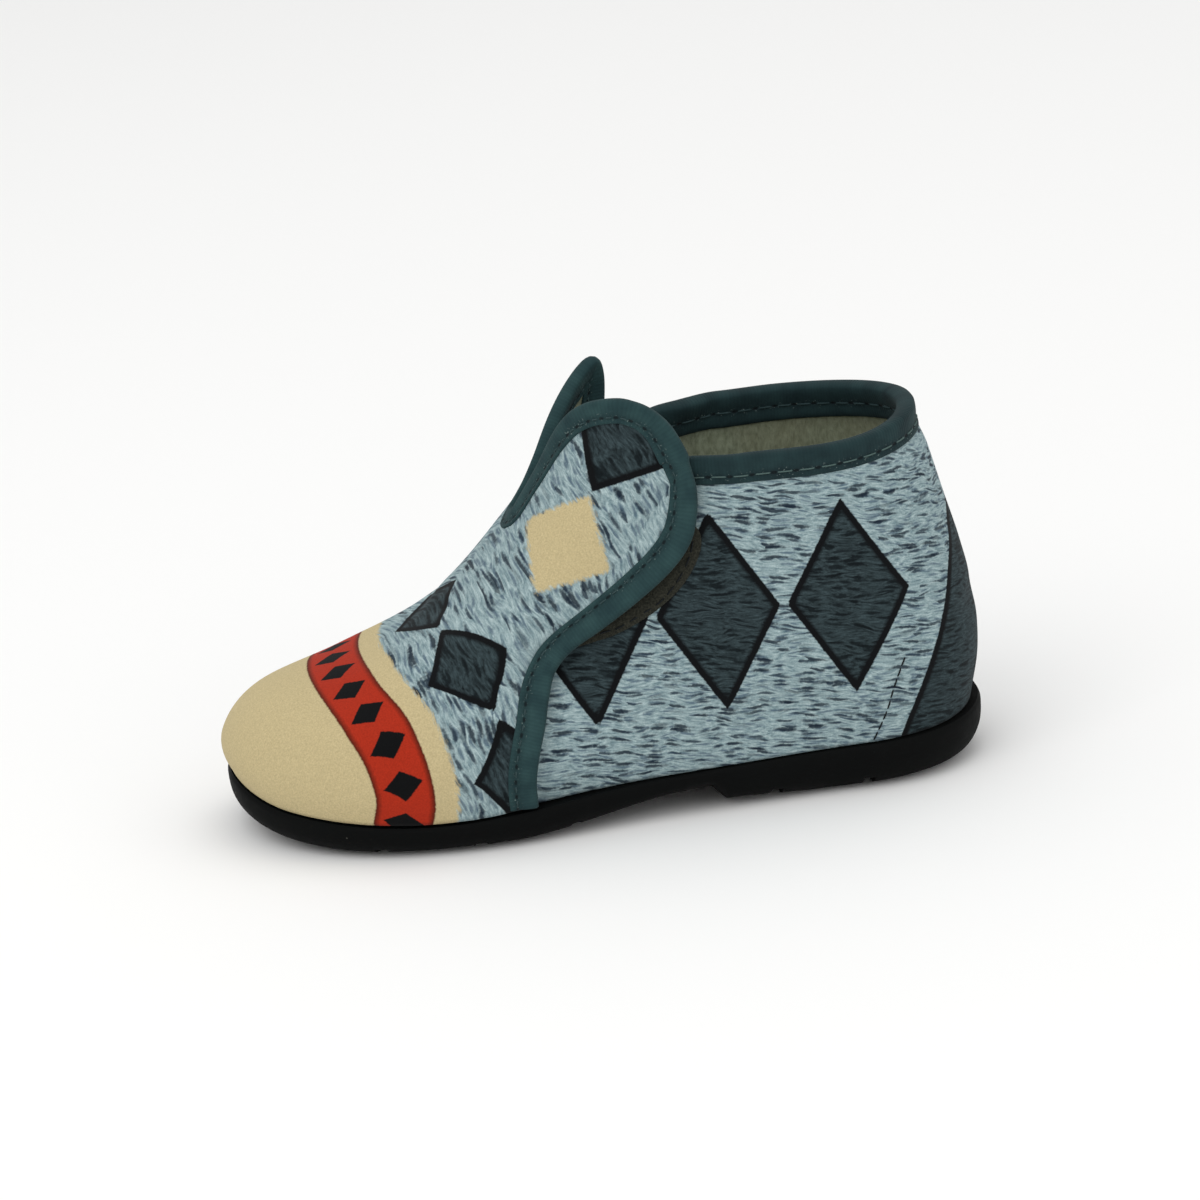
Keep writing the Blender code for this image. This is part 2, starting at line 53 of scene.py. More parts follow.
# The last: x along the foot, half widths and heights in mm, one row for each level
LEVEL_COLUMNS = ("toe_x", "heel_x", "ball", "waist", "heel", "toe_z", "ball_z", "waist_z", "heel_z")
LEVELS = (
    (-77.8, 75.8, 30.0, 26.5, 25.0, 13.6, 7.6, 9.8, 10.0),      # 0 feather line
    (-79.0, 77.9, 31.0, 27.2, 26.0, 19.5, 15.0, 18.5, 21.0),    # 1 widest bulge
    (-72.8, 77.8, 28.4, 26.8, 25.8, 26.4, 23.6, 29.0, 33.0),    # 2 top of the toe
    (-57.5, 75.7, 23.0, 25.0, 25.0, 31.8, 32.4, 41.0, 45.0),    # 3 vamp
    (-38.0, 72.9, 19.6, 23.2, 24.0, 38.6, 45.5, 53.0, 56.0),    # 4 instep
    (-20.4, 70.3, 18.0, 21.8, 23.0, 54.3, 61.0, 65.5, 66.5),    # 5 notch between the flaps
    (-8.8, 67.8, 17.0, 21.0, 22.4, 70.0, 74.8, 75.4, 76.0),     # 6 collar
    (-0.5, 65.5, 16.0, 19.5, 21.0, 92.0, 92.0, 92.0, 92.0),     # 7 above the flaps
)
LAST = np.array(LEVELS) * MM
LAST_LENGTH = LAST[0][1] - LAST[0][0]
HEIGHT_TURNS = np.radians((0, 62, 98, 180))
HEIGHT_FIT = np.linalg.inv(np.cos(np.outer(HEIGHT_TURNS, np.arange(4))))
FEATHER_STEP = np.radians(30)
FEATHER_LINE = tuple(z * MM for z in (13.4, 9.2, 7.0, 9.2, 10.3, 10.8, 12.0))
FEATHER_FADE = 2.0
TOE_ROUND, HEEL_ROUND = 1.6, 1.08
TOE_POWER, HEEL_POWER = 2.25, 2.15
TOE_SWING = 3.5 * MM
WAIST_TUCK, WAIST_CENTRE, WAIST_REACH = 2 * MM, 8 * MM, 22 * MM
SWING_LEVELS = 5
SLOPE_STEP = 0.002
GAP = 0.3 * MM

# Upper
UPPER_WALL = 2.0 * MM
UPPER_COLUMNS, UPPER_ROWS = 460, 76
COLLAR_LEVEL, THROAT_LEVEL = 6.0, 4.7
THROAT_TURNS = np.radians((15, 76))
LATERAL_DIP = 0.2
QUARTER_FREE = np.radians((80, 92))   # the vamp covers the upper ahead of these turns

# Vamp: free edges are (level, turn in degrees) from the sole or the notch up to the flap tip
LATERAL, MEDIAL = 1, -1
VAMP_WALL = 1.3 * MM
VAMP_FOOT_LEVEL, NOTCH_LEVEL = 0.05, 5.42
VAMP_REAR_EDGE = {
    LATERAL: ((0.0, 75.0), (1.7, 75.2), (2.4, 73.3), (3.0, 70.3), (3.3, 71.0), (3.5, 74.8), (3.8, 79.6),
              (4.15, 83.5), (4.5, 84.8), (4.9, 83.2), (5.4, 79.6), (5.9, 73.2), (6.33, 65.0), (6.57, 56.0),
              (6.68, 46.0)),
    MEDIAL: ((0.0, 75.0), (1.7, 75.2), (2.4, 74.0), (3.0, 72.0), (3.6, 69.0), (4.2, 65.5), (4.8, 61.5),
             (5.4, 57.0), (5.9, 53.0), (6.25, 49.8), (6.55, 46.5), (6.75, 42.5)),
}
VAMP_FRONT_EDGE = {
    LATERAL: ((NOTCH_LEVEL, 2.6), (5.8, 3.4), (6.23, 9.0), (6.5, 18.0), (6.63, 28.0), (6.68, 38.0)),
    MEDIAL: ((NOTCH_LEVEL, 2.6), (5.8, 4.0), (6.1, 10.0), (6.34, 18.5), (6.53, 27.5), (6.67, 34.5),
             (6.75, 39.5)),
}
EDGE_SAMPLES = 300
VAMP_HALF_COLUMNS = 92
VAMP_ROWS, FLAP_ROWS = 106, 64
FLAP_CROWN = np.radians(84)
VAMP_SEAT, EDGE_LIFT, FLAP_LIFT = 0.5 * MM, 0.8 * MM, 1.1 * MM
LIFT_TURNS = np.radians((5, 58))
FLAP_LIFT_LEVELS = (2.2, 3.2)

# The padded cloth stands up beside the tape that holds it down
PUFF = 0.5 * MM
PUFF_REACH = (3.5 * MM, 10 * MM)
PUCKER, PUCKER_LENGTH = 0.09 * MM, 7 * MM

# Soft creases: turn, level, heading in degrees up from the line around the foot, then mm
CREASE_COLUMNS = ("turn", "level", "heading", "length", "width", "depth")
CREASE_ROUND = 12 * MM        # creases fade out where the last curves away by this much
VAMP_CREASES = (
    (63, 1.25, 72, 26, 3.2, 0.46),      # where the toes bend, lateral
    (53, 1.70, 66, 30, 3.0, 0.44),
    (-60, 1.30, -70, 28, 3.2, 0.48),    # the same, medial
    (-50, 1.75, -64, 26, 3.0, 0.42),
    (16, 4.35, 12, 24, 3.0, 0.48),      # under the notch
    (-14, 4.10, -10, 22, 3.0, 0.44),
    (62, 3.45, 38, 22, 3.4, 0.55),      # root of the lateral flap
    (52, 5.60, 75, 20, 4.2, 0.42),      # the flap's own bend
)
QUARTER_CREASES = (
    (136, 0.90, 76, 22, 1.7, 0.35),     # along the darts
    (-136, 0.90, -76, 22, 1.7, 0.35),
    (113, 1.05, 4, 44, 4.6, 0.55),      # above the sole, lateral
    (98, 2.60, -16, 26, 4.0, 0.45),
    (121, 4.30, 10, 30, 4.4, 0.60),     # below the ankle
    (152, 3.70, -4, 28, 4.0, 0.60),     # back of the heel
    (168, 2.10, 6, 26, 4.2, 0.50),
    (-112, 1.20, 3, 42, 4.6, 0.55),     # above the sole, medial
    (-104, 3.30, 14, 28, 4.0, 0.50),
    (-138, 4.20, -8, 32, 4.2, 0.60),
)

# Folded tape
VAMP_TAPE_WIDTH, FLAP_TAPE_WIDTH, COLLAR_TAPE_WIDTH = 5.0 * MM, 4.2 * MM, 5.2 * MM
COLLAR_INNER_EXTRA = 2.0 * MM   # the collar tape reaches further down on the lining
FLAP_TAPE_LEVELS = (6.0, 6.68)
FLAP_TIP_TURN = np.radians(38)
COLLAR_TAPE_END = np.radians(48)
TAPE_STEP = 0.7 * MM
TAPE_CORNER = 0.9 * MM        # tape eases around corners over this length
TAPE_FACE = ((1.0, 0.10), (0.97, 0.40), (0.88, 0.48), (0.78, 0.40), (0.70, 0.33), (0.60, 0.42), (0.38, 0.74),
             (0.17, 0.92), (0.0, 0.95))    # share of the width from the fold, height over the cloth in mm
TAPE_UNDER = 0.03 * MM
TAPE_NOSE_STEPS = 6
TAPE_SEAM = 0.70              # the stitch row's share of the width from the fold
VAMP_DYES, COLLAR_DYES = ("#21373a", "#2d4647"), ("#1a2b2e", "#24393b")
VAMP_HOLE, COLLAR_HOLE = (0.7, 0.85), (0.8, 0.92)   # needle holes: size in mm, how dark their painted shade is

# Stitches: pitch of the needle holes, thread seen between them
COLLAR_PITCH, COLLAR_STITCH = 4.5 * MM, 3.4 * MM
VAMP_PITCH, VAMP_STITCH = 3.2 * MM, 1.3 * MM
PATCH_PITCH, PATCH_STITCH = 3.2 * MM, 2.4 * MM
DART_PITCH, DART_STITCH = 2.4 * MM, 2.1 * MM
THREAD = 0.17 * MM            # radius
STITCH_RISE, STITCH_SINK = 0.12 * MM, 0.25 * MM
STITCH_BOW = 3                # power of its bow: flat in the middle, steep at the ends
STITCH_RINGS, STITCH_SIDES = 8, 6
HEEL_DART = ((132.6, 0.02), (134.2, 0.44), (135.2, 0.72), (136.0, 1.0), (137.6, 1.36),
             (139.0, 1.60))   # turn in degrees, level

# Loop patch.  Shares are of its half size
PATCH_THICK = 0.9 * MM
PATCH_BACKING = PATCH_THICK / 3
PATCH_LEVELS = (3.28, 4.85)
PATCH_TURN, PATCH_HALF_TURN = np.radians(74), np.radians(15.5)
PATCH_POWER, PATCH_END = 2.3, 0.97
PATCH_COLUMNS, PATCH_ROWS = 64, 64
PATCH_RIM, PATCH_BEVEL = 0.35, 0.16   # share of the thickness left at the rim, share where it is full
PATCH_SEAM, SEAM_CORNER = 0.86, 1.2   # its stitch row, cut off at the corners
SEAM_DIP, SEAM_DIP_WIDTH, SEAM_DROP = 0.2 * MM, 0.05, 0.15 * MM

# Sole, in x along the foot
SOLE_MARGINS = ((-77.8, 3.0), (-52, 3.7), (-24, 3.7), (17, 1.6), (42, 1.6),
                (75.8, 2.5))   # place and how far outside the last, in mm
SOLE_STATIONS = 34            # of the solids' own outline
TOE_SPRING_START, TOE_SPRING, TOE_SPRING_POWER = -52 * MM, 2.6 * MM, 2.4
ARCH_FRONT, ARCH_RISE = -24 * MM, 4.6 * MM
BREAST_TOP, BREAST_FOOT = 17 * MM, 20.5 * MM
HEEL_LIFT, HEEL_FLAT = 0.9 * MM, 42 * MM
GROOVES = tuple(x * MM for x in (-52, -32, -12, 30.5, 50))
GROOVE_WIDTH, GROOVE_DEPTH, GROOVE_SLOPE = 2.4 * MM, 1.2 * MM, 0.25 * MM
GROOVE_TOP = 0.3              # share of the sole's height where a groove runs out at the side
SOLE_RINGS = ((0.5, 1.00), (0.0, 0.87), (0.5, 0.50), (2.6, 0.19),
              (6.5, 0.00))    # setback in mm, share of height
SOLE_SIDE_STEPS = 20
SOLE_EVEN_STATIONS = 150
STATION_CLEAR = np.radians(0.4)   # even stations keep this far from a groove's edges
SOLE_SHARP = np.radians(38)

# Footbed.  Shares are of the way from its edge to its middle line
INSOLE_THICK = 3.5 * MM
INSOLE_INSET = UPPER_WALL + 0.9 * MM
FOOTBED_INSET = UPPER_WALL - 0.3 * MM   # the soft footbed presses into the lining all around
FOOTBED_RINGS, FOOTBED_LAST_RING = 26, 0.985
MIDDLE_ENDS = (22 * MM, 20 * MM)   # its middle line stops short of toe and heel
FOOTBED_EDGE, FOOTBED_ROUND = 0.6, 0.06   # share of the thickness at the edge, share where it is full
FOOTBED_DISH, DISH_REACH = 0.9 * MM, 0.7   # pressed down in the middle

# Print: signed distances in mm from the edges of each colour, negative inside
FAR = 9.0                     # stands for no edge near
HEEL_CENTRE, HEEL_RADIUS = 50.0, 25.0   # lengths around the quarter bend around this x, with this radius
QUARTER_LOZENGE = (12.8, 20.5)   # half diagonals around the foot and up
QUARTER_ROW_HEIGHT = 42.5
QUARTER_FIRST, QUARTER_PITCH, QUARTER_COUNT = 41.0, 27.0, 4
HEEL_PANEL = ((34.0, 4.0), (32.2, 10.8), (29.6, 17.0), (26.8, 23.0), (23.9, 29.0), (20.6, 36.0), (17.6, 42.5),
              (14.2, 48.0), (10.0, 52.6), (5.2, 55.4), (0.0, 56.4))   # half width around the heel, height
TOE_LINE, TOE_BOW, TOE_HALF = -46.0, 11.0, 31.0   # the toe's bands bow back at the sides
RED_MIDDLE, RED_HALF, CREAM_STRIP = -10.0, 5.8, 4.6   # cream toe, red band, cream strip
BLACK_LOZENGE, BLACK_PITCH = (2.7, 4.0), 7.8
CHAIN_LOZENGE, CHAIN_PITCH, CHAIN_BACK, CHAIN_COUNT = (11.0, 9.0), 23.0, 11.5, 7
ROW_LEVELS = (0.02, 5.4)      # rows across the vamp are followed between these levels
ROW_TURN = np.radians(90)
ROW_SAMPLES = 700
RIDGE_LEVELS = np.linspace(1, 7, 400)
FLAP_CENTRE, FLAP_AXIS_END = (46.0, 4.95), (49.0, 6.2)   # turn in degrees, level
FLAP_LOZENGE, FLAP_PITCH = (11.5, 9.0), 24.0
VAMP_LEAN, QUARTER_LEAN = np.radians(70), 0.14   # the heather falls towards the heel, steeply on the vamp
VAMP_ROUND = 0.35             # share of the width that counts as length along the vamp's heather
MEDIAL_SLIP, MEDIAL_REACH = 5.0, 14.0   # keeps the vamp's two sides from being mirror images
VAMP_SCALE = (0.88, 0.72)     # the vamp's heather is larger than the quarters'

# Heather dashes: length and width of a cell in mm, lots kept, size at the rim and the core, dye, strength
DASHES = (
    ((3.4, 0.75), (0.42, 0.55), (0.44, 0.18), "#46596a", 0.7),
    ((4.6, 0.95), (0.48, 0.64), (0.44, 0.18), "#1b2938", 0.85),
    ((5.8, 1.20), (0.60, 0.70), (0.42, 0.20), "#16212e", 0.88),
)

# Studio
CAMERA_TURN, CAMERA_RISE, CAMERA_ROLL = np.radians((-6.0, 17.5, 5.3))
CAMERA_DISTANCE = 1.0
CAMERA_AIM = (0, 0, 40.2 * MM)
CAMERA_LENS, CAMERA_SENSOR = 144, 36
FLOOR_SIZE = 6.0
WORLD_LIGHT = 0.78
LAMPS = (                     # name, place, size, watts
    ("key", (-0.75, -0.95, 1.35), 1.3, 9.0),
    ("fill", (1.1, -1.1, 0.7), 1.2, 2.5),
    ("top", (0.1, 0.3, 1.6), 1.4, 4.0),
)


def ease(t):
    """Smooth step from 0 to 1."""
    t = np.clip(t, 0, 1)
    return t * t * (3 - 2 * t)


def between(value, limits):
    """How far value has come from the first limit to the second, eased."""
    return ease((value - limits[0]) / (limits[1] - limits[0]))


def through(table, place):
    """Catmull-Rom curve through the rows of a table, at fractional row numbers."""
    place = np.clip(np.asarray(place, float), 0, len(table) - 1)
    row = np.minimum(place.astype(int), len(table) - 2)
    t = (place - row)[..., None]
    here, after = table[row], table[row + 1]
    before = np.where((row > 0)[..., None], table[np.maximum(row - 1, 0)], 2 * here - after)
    beyond = table[np.minimum(row + 2, len(table) - 1)]
    last = np.where((row < len(table) - 2)[..., None], beyond, 2 * after - here)
    square = (2 * before - 5 * here + 4 * after - last) * t**2
    cube = (3 * here - before - 3 * after + last) * t**3
    return 0.5 * (2 * here + (after - before) * t + square + cube)


def curve_through(rows, samples):
    """Dense curve through all the rows of a table."""
    return through(np.array(rows), np.linspace(0, len(rows) - 1, samples))


def wave_through(heights, turn):
    """Smooth wave around the foot that meets the heights at HEIGHT_TURNS."""
    return sum(wave * np.cos(n * turn) for n, wave in enumerate(np.tensordot(HEIGHT_FIT, heights, 1)))


def half_turn(turn):
    """Turn away from the toe, 0 to pi, the same on both sides."""
    return np.abs((turn + np.pi) % (2 * np.pi) - np.pi)


def feather_height(turn):
    """Height of the line where the upper meets the sole."""
    mirrored = np.array([FEATHER_LINE[1], *FEATHER_LINE, FEATHER_LINE[-2]])
    return through(mirrored[:, None], half_turn(turn) / FEATHER_STEP + 1)[..., 0]


def form(turn, level):
    """Point on the last."""
    turn, level = np.broadcast_arrays(np.asarray(turn, float), np.asarray(level, float))
    size = dict(zip(LEVEL_COLUMNS, np.moveaxis(through(LAST, level), -1, 0)))
    toe_x, heel_x = size["toe_x"], size["heel_x"]
    x = toe_x + (heel_x - toe_x) * (1 - np.cos(turn)) / 2
    ball_x = toe_x + TOE_ROUND * size["ball"]
    rear_x = heel_x - HEEL_ROUND * size["heel"]
    waist_x = (ball_x + rear_x) / 2
    half = size["ball"] + (size["waist"] - size["ball"]) * between(x, (ball_x, waist_x))
    half = half + (size["heel"] - size["waist"]) * between(x, (waist_x, rear_x))
    front = np.clip((ball_x - x) / (ball_x - toe_x), 0, 1)
    rear = np.clip((x - rear_x) / (heel_x - rear_x), 0, 1)
    half = half * (1 - front**TOE_POWER) ** (1 / TOE_POWER) * (1 - rear**HEEL_POWER) ** (1 / HEEL_POWER)
    side = -np.sign(np.sin(turn))
    low = np.clip(1 - level / SWING_LEVELS, 0, 1)
    tuck = np.where(side > 0, WAIST_TUCK * low * np.exp(-(((x - WAIST_CENTRE) / WAIST_REACH) ** 2)), 0)
    y = side * (half - tuck) + TOE_SWING * low * front**2
    heights = np.stack([size["toe_z"], size["ball_z"], size["waist_z"], size["heel_z"]])
    z = wave_through(heights, turn)
    start = wave_through(LAST[0][-len(heights):], turn)
    z = z + (feather_height(turn) - start) * ease(1 - level / FEATHER_FADE)
    return np.stack([x, y, z], -1)


def unit(vectors):
    return vectors / np.linalg.norm(vectors, axis=-1, keepdims=True)


def directions(turn, level):
    """How the last's point moves with turn and with level."""
    top = len(LEVELS) - 1
    low, high = np.clip(level - SLOPE_STEP, 0, top), np.clip(level + SLOPE_STEP, 0, top)
    along = (form(turn + SLOPE_STEP, level) - form(turn - SLOPE_STEP, level)) / (2 * SLOPE_STEP)
    climb = (form(turn, high) - form(turn, low)) / (high - low)[..., None]
    return along, climb


def outward(turn, level):
    """Unit normal of the last, kept level where it would dip into the sole."""
    turn, level = np.broadcast_arrays(np.asarray(turn, float), np.asarray(level, float))
    normal = unit(np.cross(*directions(turn, level)))
    dip = normal[..., 2] < 0
    normal[..., 2] = np.where(dip, normal[..., 2] * ease(level), normal[..., 2])
    return unit(normal)


def skin(turn, level, height):
    """Point at a height over the last."""
    return form(turn, level) + np.asarray(height, float)[..., None] * outward(turn, level)


def walk(turn, level, heading, distance, steps=4):
    """Turn and level reached by walking over the last in a heading."""
    for _ in range(steps):
        along, climb = directions(turn, level)
        basis = np.stack([along, climb], -1)
        goal = (heading * np.asarray(distance)[..., None] / steps)[..., None]
        move = np.linalg.pinv(basis) @ goal
        turn, level = turn + move[..., 0, 0], level + move[..., 1, 0]
    return turn, level


def run_of(points):
    """Length along a line of points, from its first point."""
    return np.concatenate([[0], np.cumsum(np.linalg.norm(np.diff(points, axis=0), axis=1))])


def on_line(at, run, points):
    """Places on a line of points that have run this far, at other lengths of run."""
    return np.stack([np.interp(at, run, column) for column in points.T], -1)


def collar_level(turn):
    """Top edge of the upper."""
    climb = between(half_turn(turn), THROAT_TURNS)
    dip = LATERAL_DIP * np.clip(np.sin(turn), 0, None) ** 2
    return THROAT_LEVEL + (COLLAR_LEVEL - THROAT_LEVEL) * climb - dip


def edge_curve(edge):
    """Smooth curve through the points of a free edge: levels and turns."""
    level, turn = curve_through(edge, EDGE_SAMPLES).T
    return level, np.radians(turn)


def vamp_height(turn, level):
    """Height of the vamp's back over the last."""
    lift = between(np.abs(turn), LIFT_TURNS)
    return VAMP_SEAT + lift * (EDGE_LIFT + FLAP_LIFT * between(level, FLAP_LIFT_LEVELS))


def vamp_levels(side):
    """Rows of half the vamp: even along its lateral edge up to the notch, closing up towards the flap tip."""
    level, turn = edge_curve(VAMP_REAR_EDGE[LATERAL])
    body = (level > VAMP_FOOT_LEVEL) & (level < NOTCH_LEVEL)
    run = run_of(form(turn[body], level[body]))
    rows = np.interp(np.linspace(0, run[-1], VAMP_ROWS), run, level[body])
    rows[0], rows[-1] = VAMP_FOOT_LEVEL, NOTCH_LEVEL
    tip = VAMP_REAR_EDGE[side][-1][0]
    rise = np.sin(np.linspace(0, FLAP_CROWN, FLAP_ROWS + 1)) / np.sin(FLAP_CROWN)
    return np.concatenate([rows, NOTCH_LEVEL + (tip - NOTCH_LEVEL) * rise[1:]])


def vamp_limits(side, levels):
    """Front and rear turn of half the vamp at each row: the halves are one up to the notch."""
    front = np.interp(levels, *edge_curve(VAMP_FRONT_EDGE[side]))
    front[:VAMP_ROWS] = 0
    return side * front, side * np.interp(levels, *edge_curve(VAMP_REAR_EDGE[side]))


def ring_points(turns, outset, height):
    """Ring around the feather line, moved out in plan, at the given heights."""
    feather = form(turns, 0)
    ahead = form(turns + SLOPE_STEP, 0) - form(turns - SLOPE_STEP, 0)
    away = unit(np.stack([ahead[:, 1], -ahead[:, 0]], -1))
    plan = feather[:, :2] + np.asarray(outset, float)[..., None] * away
    return np.concatenate([plan, np.broadcast_to(height, turns.shape)[:, None]], 1)


def loop_of(stations):
    """Turns once around the foot: toe to heel on the lateral side, back on the medial side."""
    return np.concatenate([stations, -stations[-2:0:-1]])


def tread_height(x):
    """Underside of the sole: toe spring, arch and heel breast."""
    spring_length = TOE_SPRING_START - form(0, 0)[0]
    spring = TOE_SPRING * (np.clip(TOE_SPRING_START - x, 0, None) / spring_length) ** TOE_SPRING_POWER
    arch = ARCH_RISE * between(x, (ARCH_FRONT, BREAST_TOP))
    breast = (ARCH_RISE - HEEL_LIFT) * between(x, (BREAST_TOP, BREAST_FOOT))
    heel = HEEL_LIFT * between(x, (BREAST_FOOT, HEEL_FLAT))
    return spring + arch - breast - heel


def frame_shift():
    """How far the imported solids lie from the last's own origin, read from the insole's box."""
    turns = loop_of(np.linspace(0, np.pi, SOLE_STATIONS))
    outline = ring_points(turns, np.full(len(turns), -INSOLE_INSET), form(turns, 0)[:, 2])
    low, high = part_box("insole")
    shift = (np.array(low) + np.array(high)) / 2 - (outline.min(0) + outline.max(0)) / 2
    return np.array([shift[0], shift[1], low[2] - outline[:, 2].min()])


SHIFT = frame_shift()


def grid_faces(numbers, closed=False):
    """Quads between the rows and columns of a grid of point numbers."""
    if closed:
        numbers = np.concatenate([numbers, numbers[:, :1]], 1)
    corners = (numbers[:-1, :-1], numbers[:-1, 1:], numbers[1:, 1:], numbers[1:, :-1])
    return np.stack(corners, -1).reshape(-1, 4)


def piece(name, points, faces, looks, fields=None, stands_for=()):
    """Smooth mesh that rides on the shoe.  fields are values at its points, for the materials."""
    mesh = bpy.data.meshes.new(name)
    places = (points + SHIFT).reshape(-1, 3)
    mesh.from_pydata(places.tolist(), [], [tuple(face) for face in faces])
    for field, values in (fields or {}).items():
        kind, key = ("FLOAT", "value") if values.size == len(places) else ("FLOAT_VECTOR", "vector")
        flat = np.ascontiguousarray(values, np.float32).ravel()
        mesh.attributes.new(field, kind, "POINT").data.foreach_set(key, flat)
    mesh.shade_smooth()
    for look in looks:
        mesh.materials.append(look)
    made = bpy.data.objects.new(name, mesh)
    bpy.context.scene.collection.objects.link(made)
    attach(made, "root")
    if stands_for:
        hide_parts(*stands_for)
    return made


def give_wall(made, thickness):
    """Thicken an open surface inward.  Its back and its rim take the next material."""
    wall = made.modifiers.new("wall", "SOLIDIFY")
    wall.thickness = thickness
    wall.offset = -1
    wall.use_even_offset = True
    wall.material_offset = 1
    wall.material_offset_rim = 1


def creases(points, table):
    """Heights of soft troughs, each with a low ridge on both sides."""
    height = np.zeros(points.shape[:-1])
    for row in table:
        crease = dict(zip(CREASE_COLUMNS, row))
        turn, level = np.radians(crease["turn"]), np.array(crease["level"])
        around, up = (unit(way) for way in directions(turn, level))
        up = unit(up - (up @ around) * around)
        heading = np.radians(crease["heading"])
        offset = points - form(turn, level)
        along = offset @ (np.cos(heading) * around + np.sin(heading) * up) / (crease["length"] * MM / 2)
        across = offset @ (np.cos(heading) * up - np.sin(heading) * around) / (crease["width"] * MM)
        near = ease(1 - np.abs(along)) * np.exp(-((offset @ outward(turn, level) / CREASE_ROUND) ** 2))
        height -= crease["depth"] * MM * near * (1 - across**2) * np.exp(-(across**2))
    return height


def distance_to(points, line):
    """Distance of each point from a dense line, and the number of the nearest place on it."""
    tree = KDTree(len(line))
    for number, place in enumerate(line):
        tree.insert(place, number)
    tree.balance()
    found = [tree.find(point) for point in points.reshape(-1, 3)]
    distance = np.array([hit[2] for hit in found]).reshape(points.shape[:-1])
    nearest = np.array([hit[1] for hit in found]).reshape(points.shape[:-1])
    return distance, nearest


def padding(points, edge):
    """Height of the padded cloth beside a taped edge: held down at the tape, with small puckers."""
    distance, nearest = distance_to(points, edge)
    run = run_of(edge)[nearest]
    swell = between(distance, PUFF_REACH)
    pucker = PUCKER * np.cos(2 * np.pi * run / PUCKER_LENGTH) * 4 * swell * (1 - swell)
    return PUFF * swell + pucker


def eased_path(turn, level):
    """Even places along a path over the last, eased around its corners."""
    run = run_of(form(turn, level))
    even = np.arange(0, run[-1], TAPE_STEP)
    reach = int(3 * TAPE_CORNER / TAPE_STEP)
    weights = np.exp(-0.5 * (np.arange(-reach, reach + 1) * TAPE_STEP / TAPE_CORNER) ** 2)
    weights = weights / weights.sum()
    eased = []
    for values in (turn, level):
        padded = np.pad(np.interp(even, run, values), reach, "reflect", reflect_type="odd")
        eased.append(np.convolve(padded, weights, "valid"))
    return eased


def vamp_edge_path():
    """Free edge of the vamp: lateral sole, lateral flap, notch, medial flap, medial sole."""
    turns, levels = [], []
    for side in (LATERAL, MEDIAL):
        rear_level, rear_turn = edge_curve(VAMP_REAR_EDGE[side])
        front_level, front_turn = edge_curve(VAMP_FRONT_EDGE[side])
        above = rear_level > VAMP_FOOT_LEVEL
        turns.append(np.concatenate([[rear_turn[0]], rear_turn[above], front_turn[::-1]]) * side)
        levels.append(np.concatenate([[VAMP_FOOT_LEVEL], rear_level[above], front_level[::-1]]))
    turn = np.concatenate([turns[0], [0], turns[1][::-1]])
    level = np.concatenate([levels[0], [NOTCH_LEVEL], levels[1][::-1]])
    return eased_path(turn, level)


def collar_path():
    """Top edge of the upper, from the vamp's medial side around the heel to its lateral side."""
    turn = np.linspace(2 * np.pi - COLLAR_TAPE_END, COLLAR_TAPE_END, EDGE_SAMPLES)
    return eased_path(turn, collar_level(turn))


def upper_back(turn, level):
    """Height of the upper's lining over the last, the same at every level."""
    return np.full(np.shape(turn), -UPPER_WALL)


def lozenge(a, b, halves):
    """Signed distance from the edge of a lozenge with these half diagonals."""
    inside = np.abs(a) / halves[0] + np.abs(b) / halves[1] - 1
    return inside * halves[0] * halves[1] / np.hypot(*halves)


def lozenge_row(a, b, halves, first, pitch, count):
    """Signed distance from a row of lozenges along a."""
    number = np.clip(np.round((a - first) / pitch), 0, count - 1)
    return lozenge(a - first - pitch * number, b, halves)


def arc_from_heel(points):
    """Length in mm around the foot from the middle of the heel, in plan."""
    x, y = points[..., 0] / MM, np.abs(points[..., 1] / MM)
    return HEEL_RADIUS * np.arctan2(y, np.maximum(x - HEEL_CENTRE, 0)) + np.maximum(HEEL_CENTRE - x, 0)


def quarter_print(turn, points):
    """Print fields and cloth coordinates of the quarters."""
    up = points[..., 2] / MM
    around = arc_from_heel(points)
    row = lozenge_row(around, up - QUARTER_ROW_HEIGHT, QUARTER_LOZENGE, QUARTER_FIRST, QUARTER_PITCH,
                      QUARTER_COUNT)
    edge = curve_through(HEEL_PANEL, EDGE_SAMPLES)
    flat = np.stack([around, up, np.zeros(up.shape)], -1)
    away, _ = distance_to(flat, np.pad(edge, ((0, 0), (0, 1))))
    heel = np.where(around < np.interp(up, edge[:, 1], edge[:, 0], right=-1), -away, away)
    none = np.full(up.shape, FAR)
    signed = around * np.where(np.sin(turn) >= 0, 1, -1)
    return {
        "slate": np.clip(np.minimum(row, heel), -FAR, FAR),
        "cream": none,
        "red": none,
        "band": np.stack([none, none, none], -1),
        "cloth": np.stack([signed, up - QUARTER_LEAN * around, none], -1),
    }


def behind_toe(points):
    """Distance in mm behind the line that bounds the toe's bands."""
    x, y = points[..., 0] / MM, points[..., 1] / MM
    return x - TOE_LINE - TOE_BOW * (np.abs(y) / TOE_HALF) ** 2


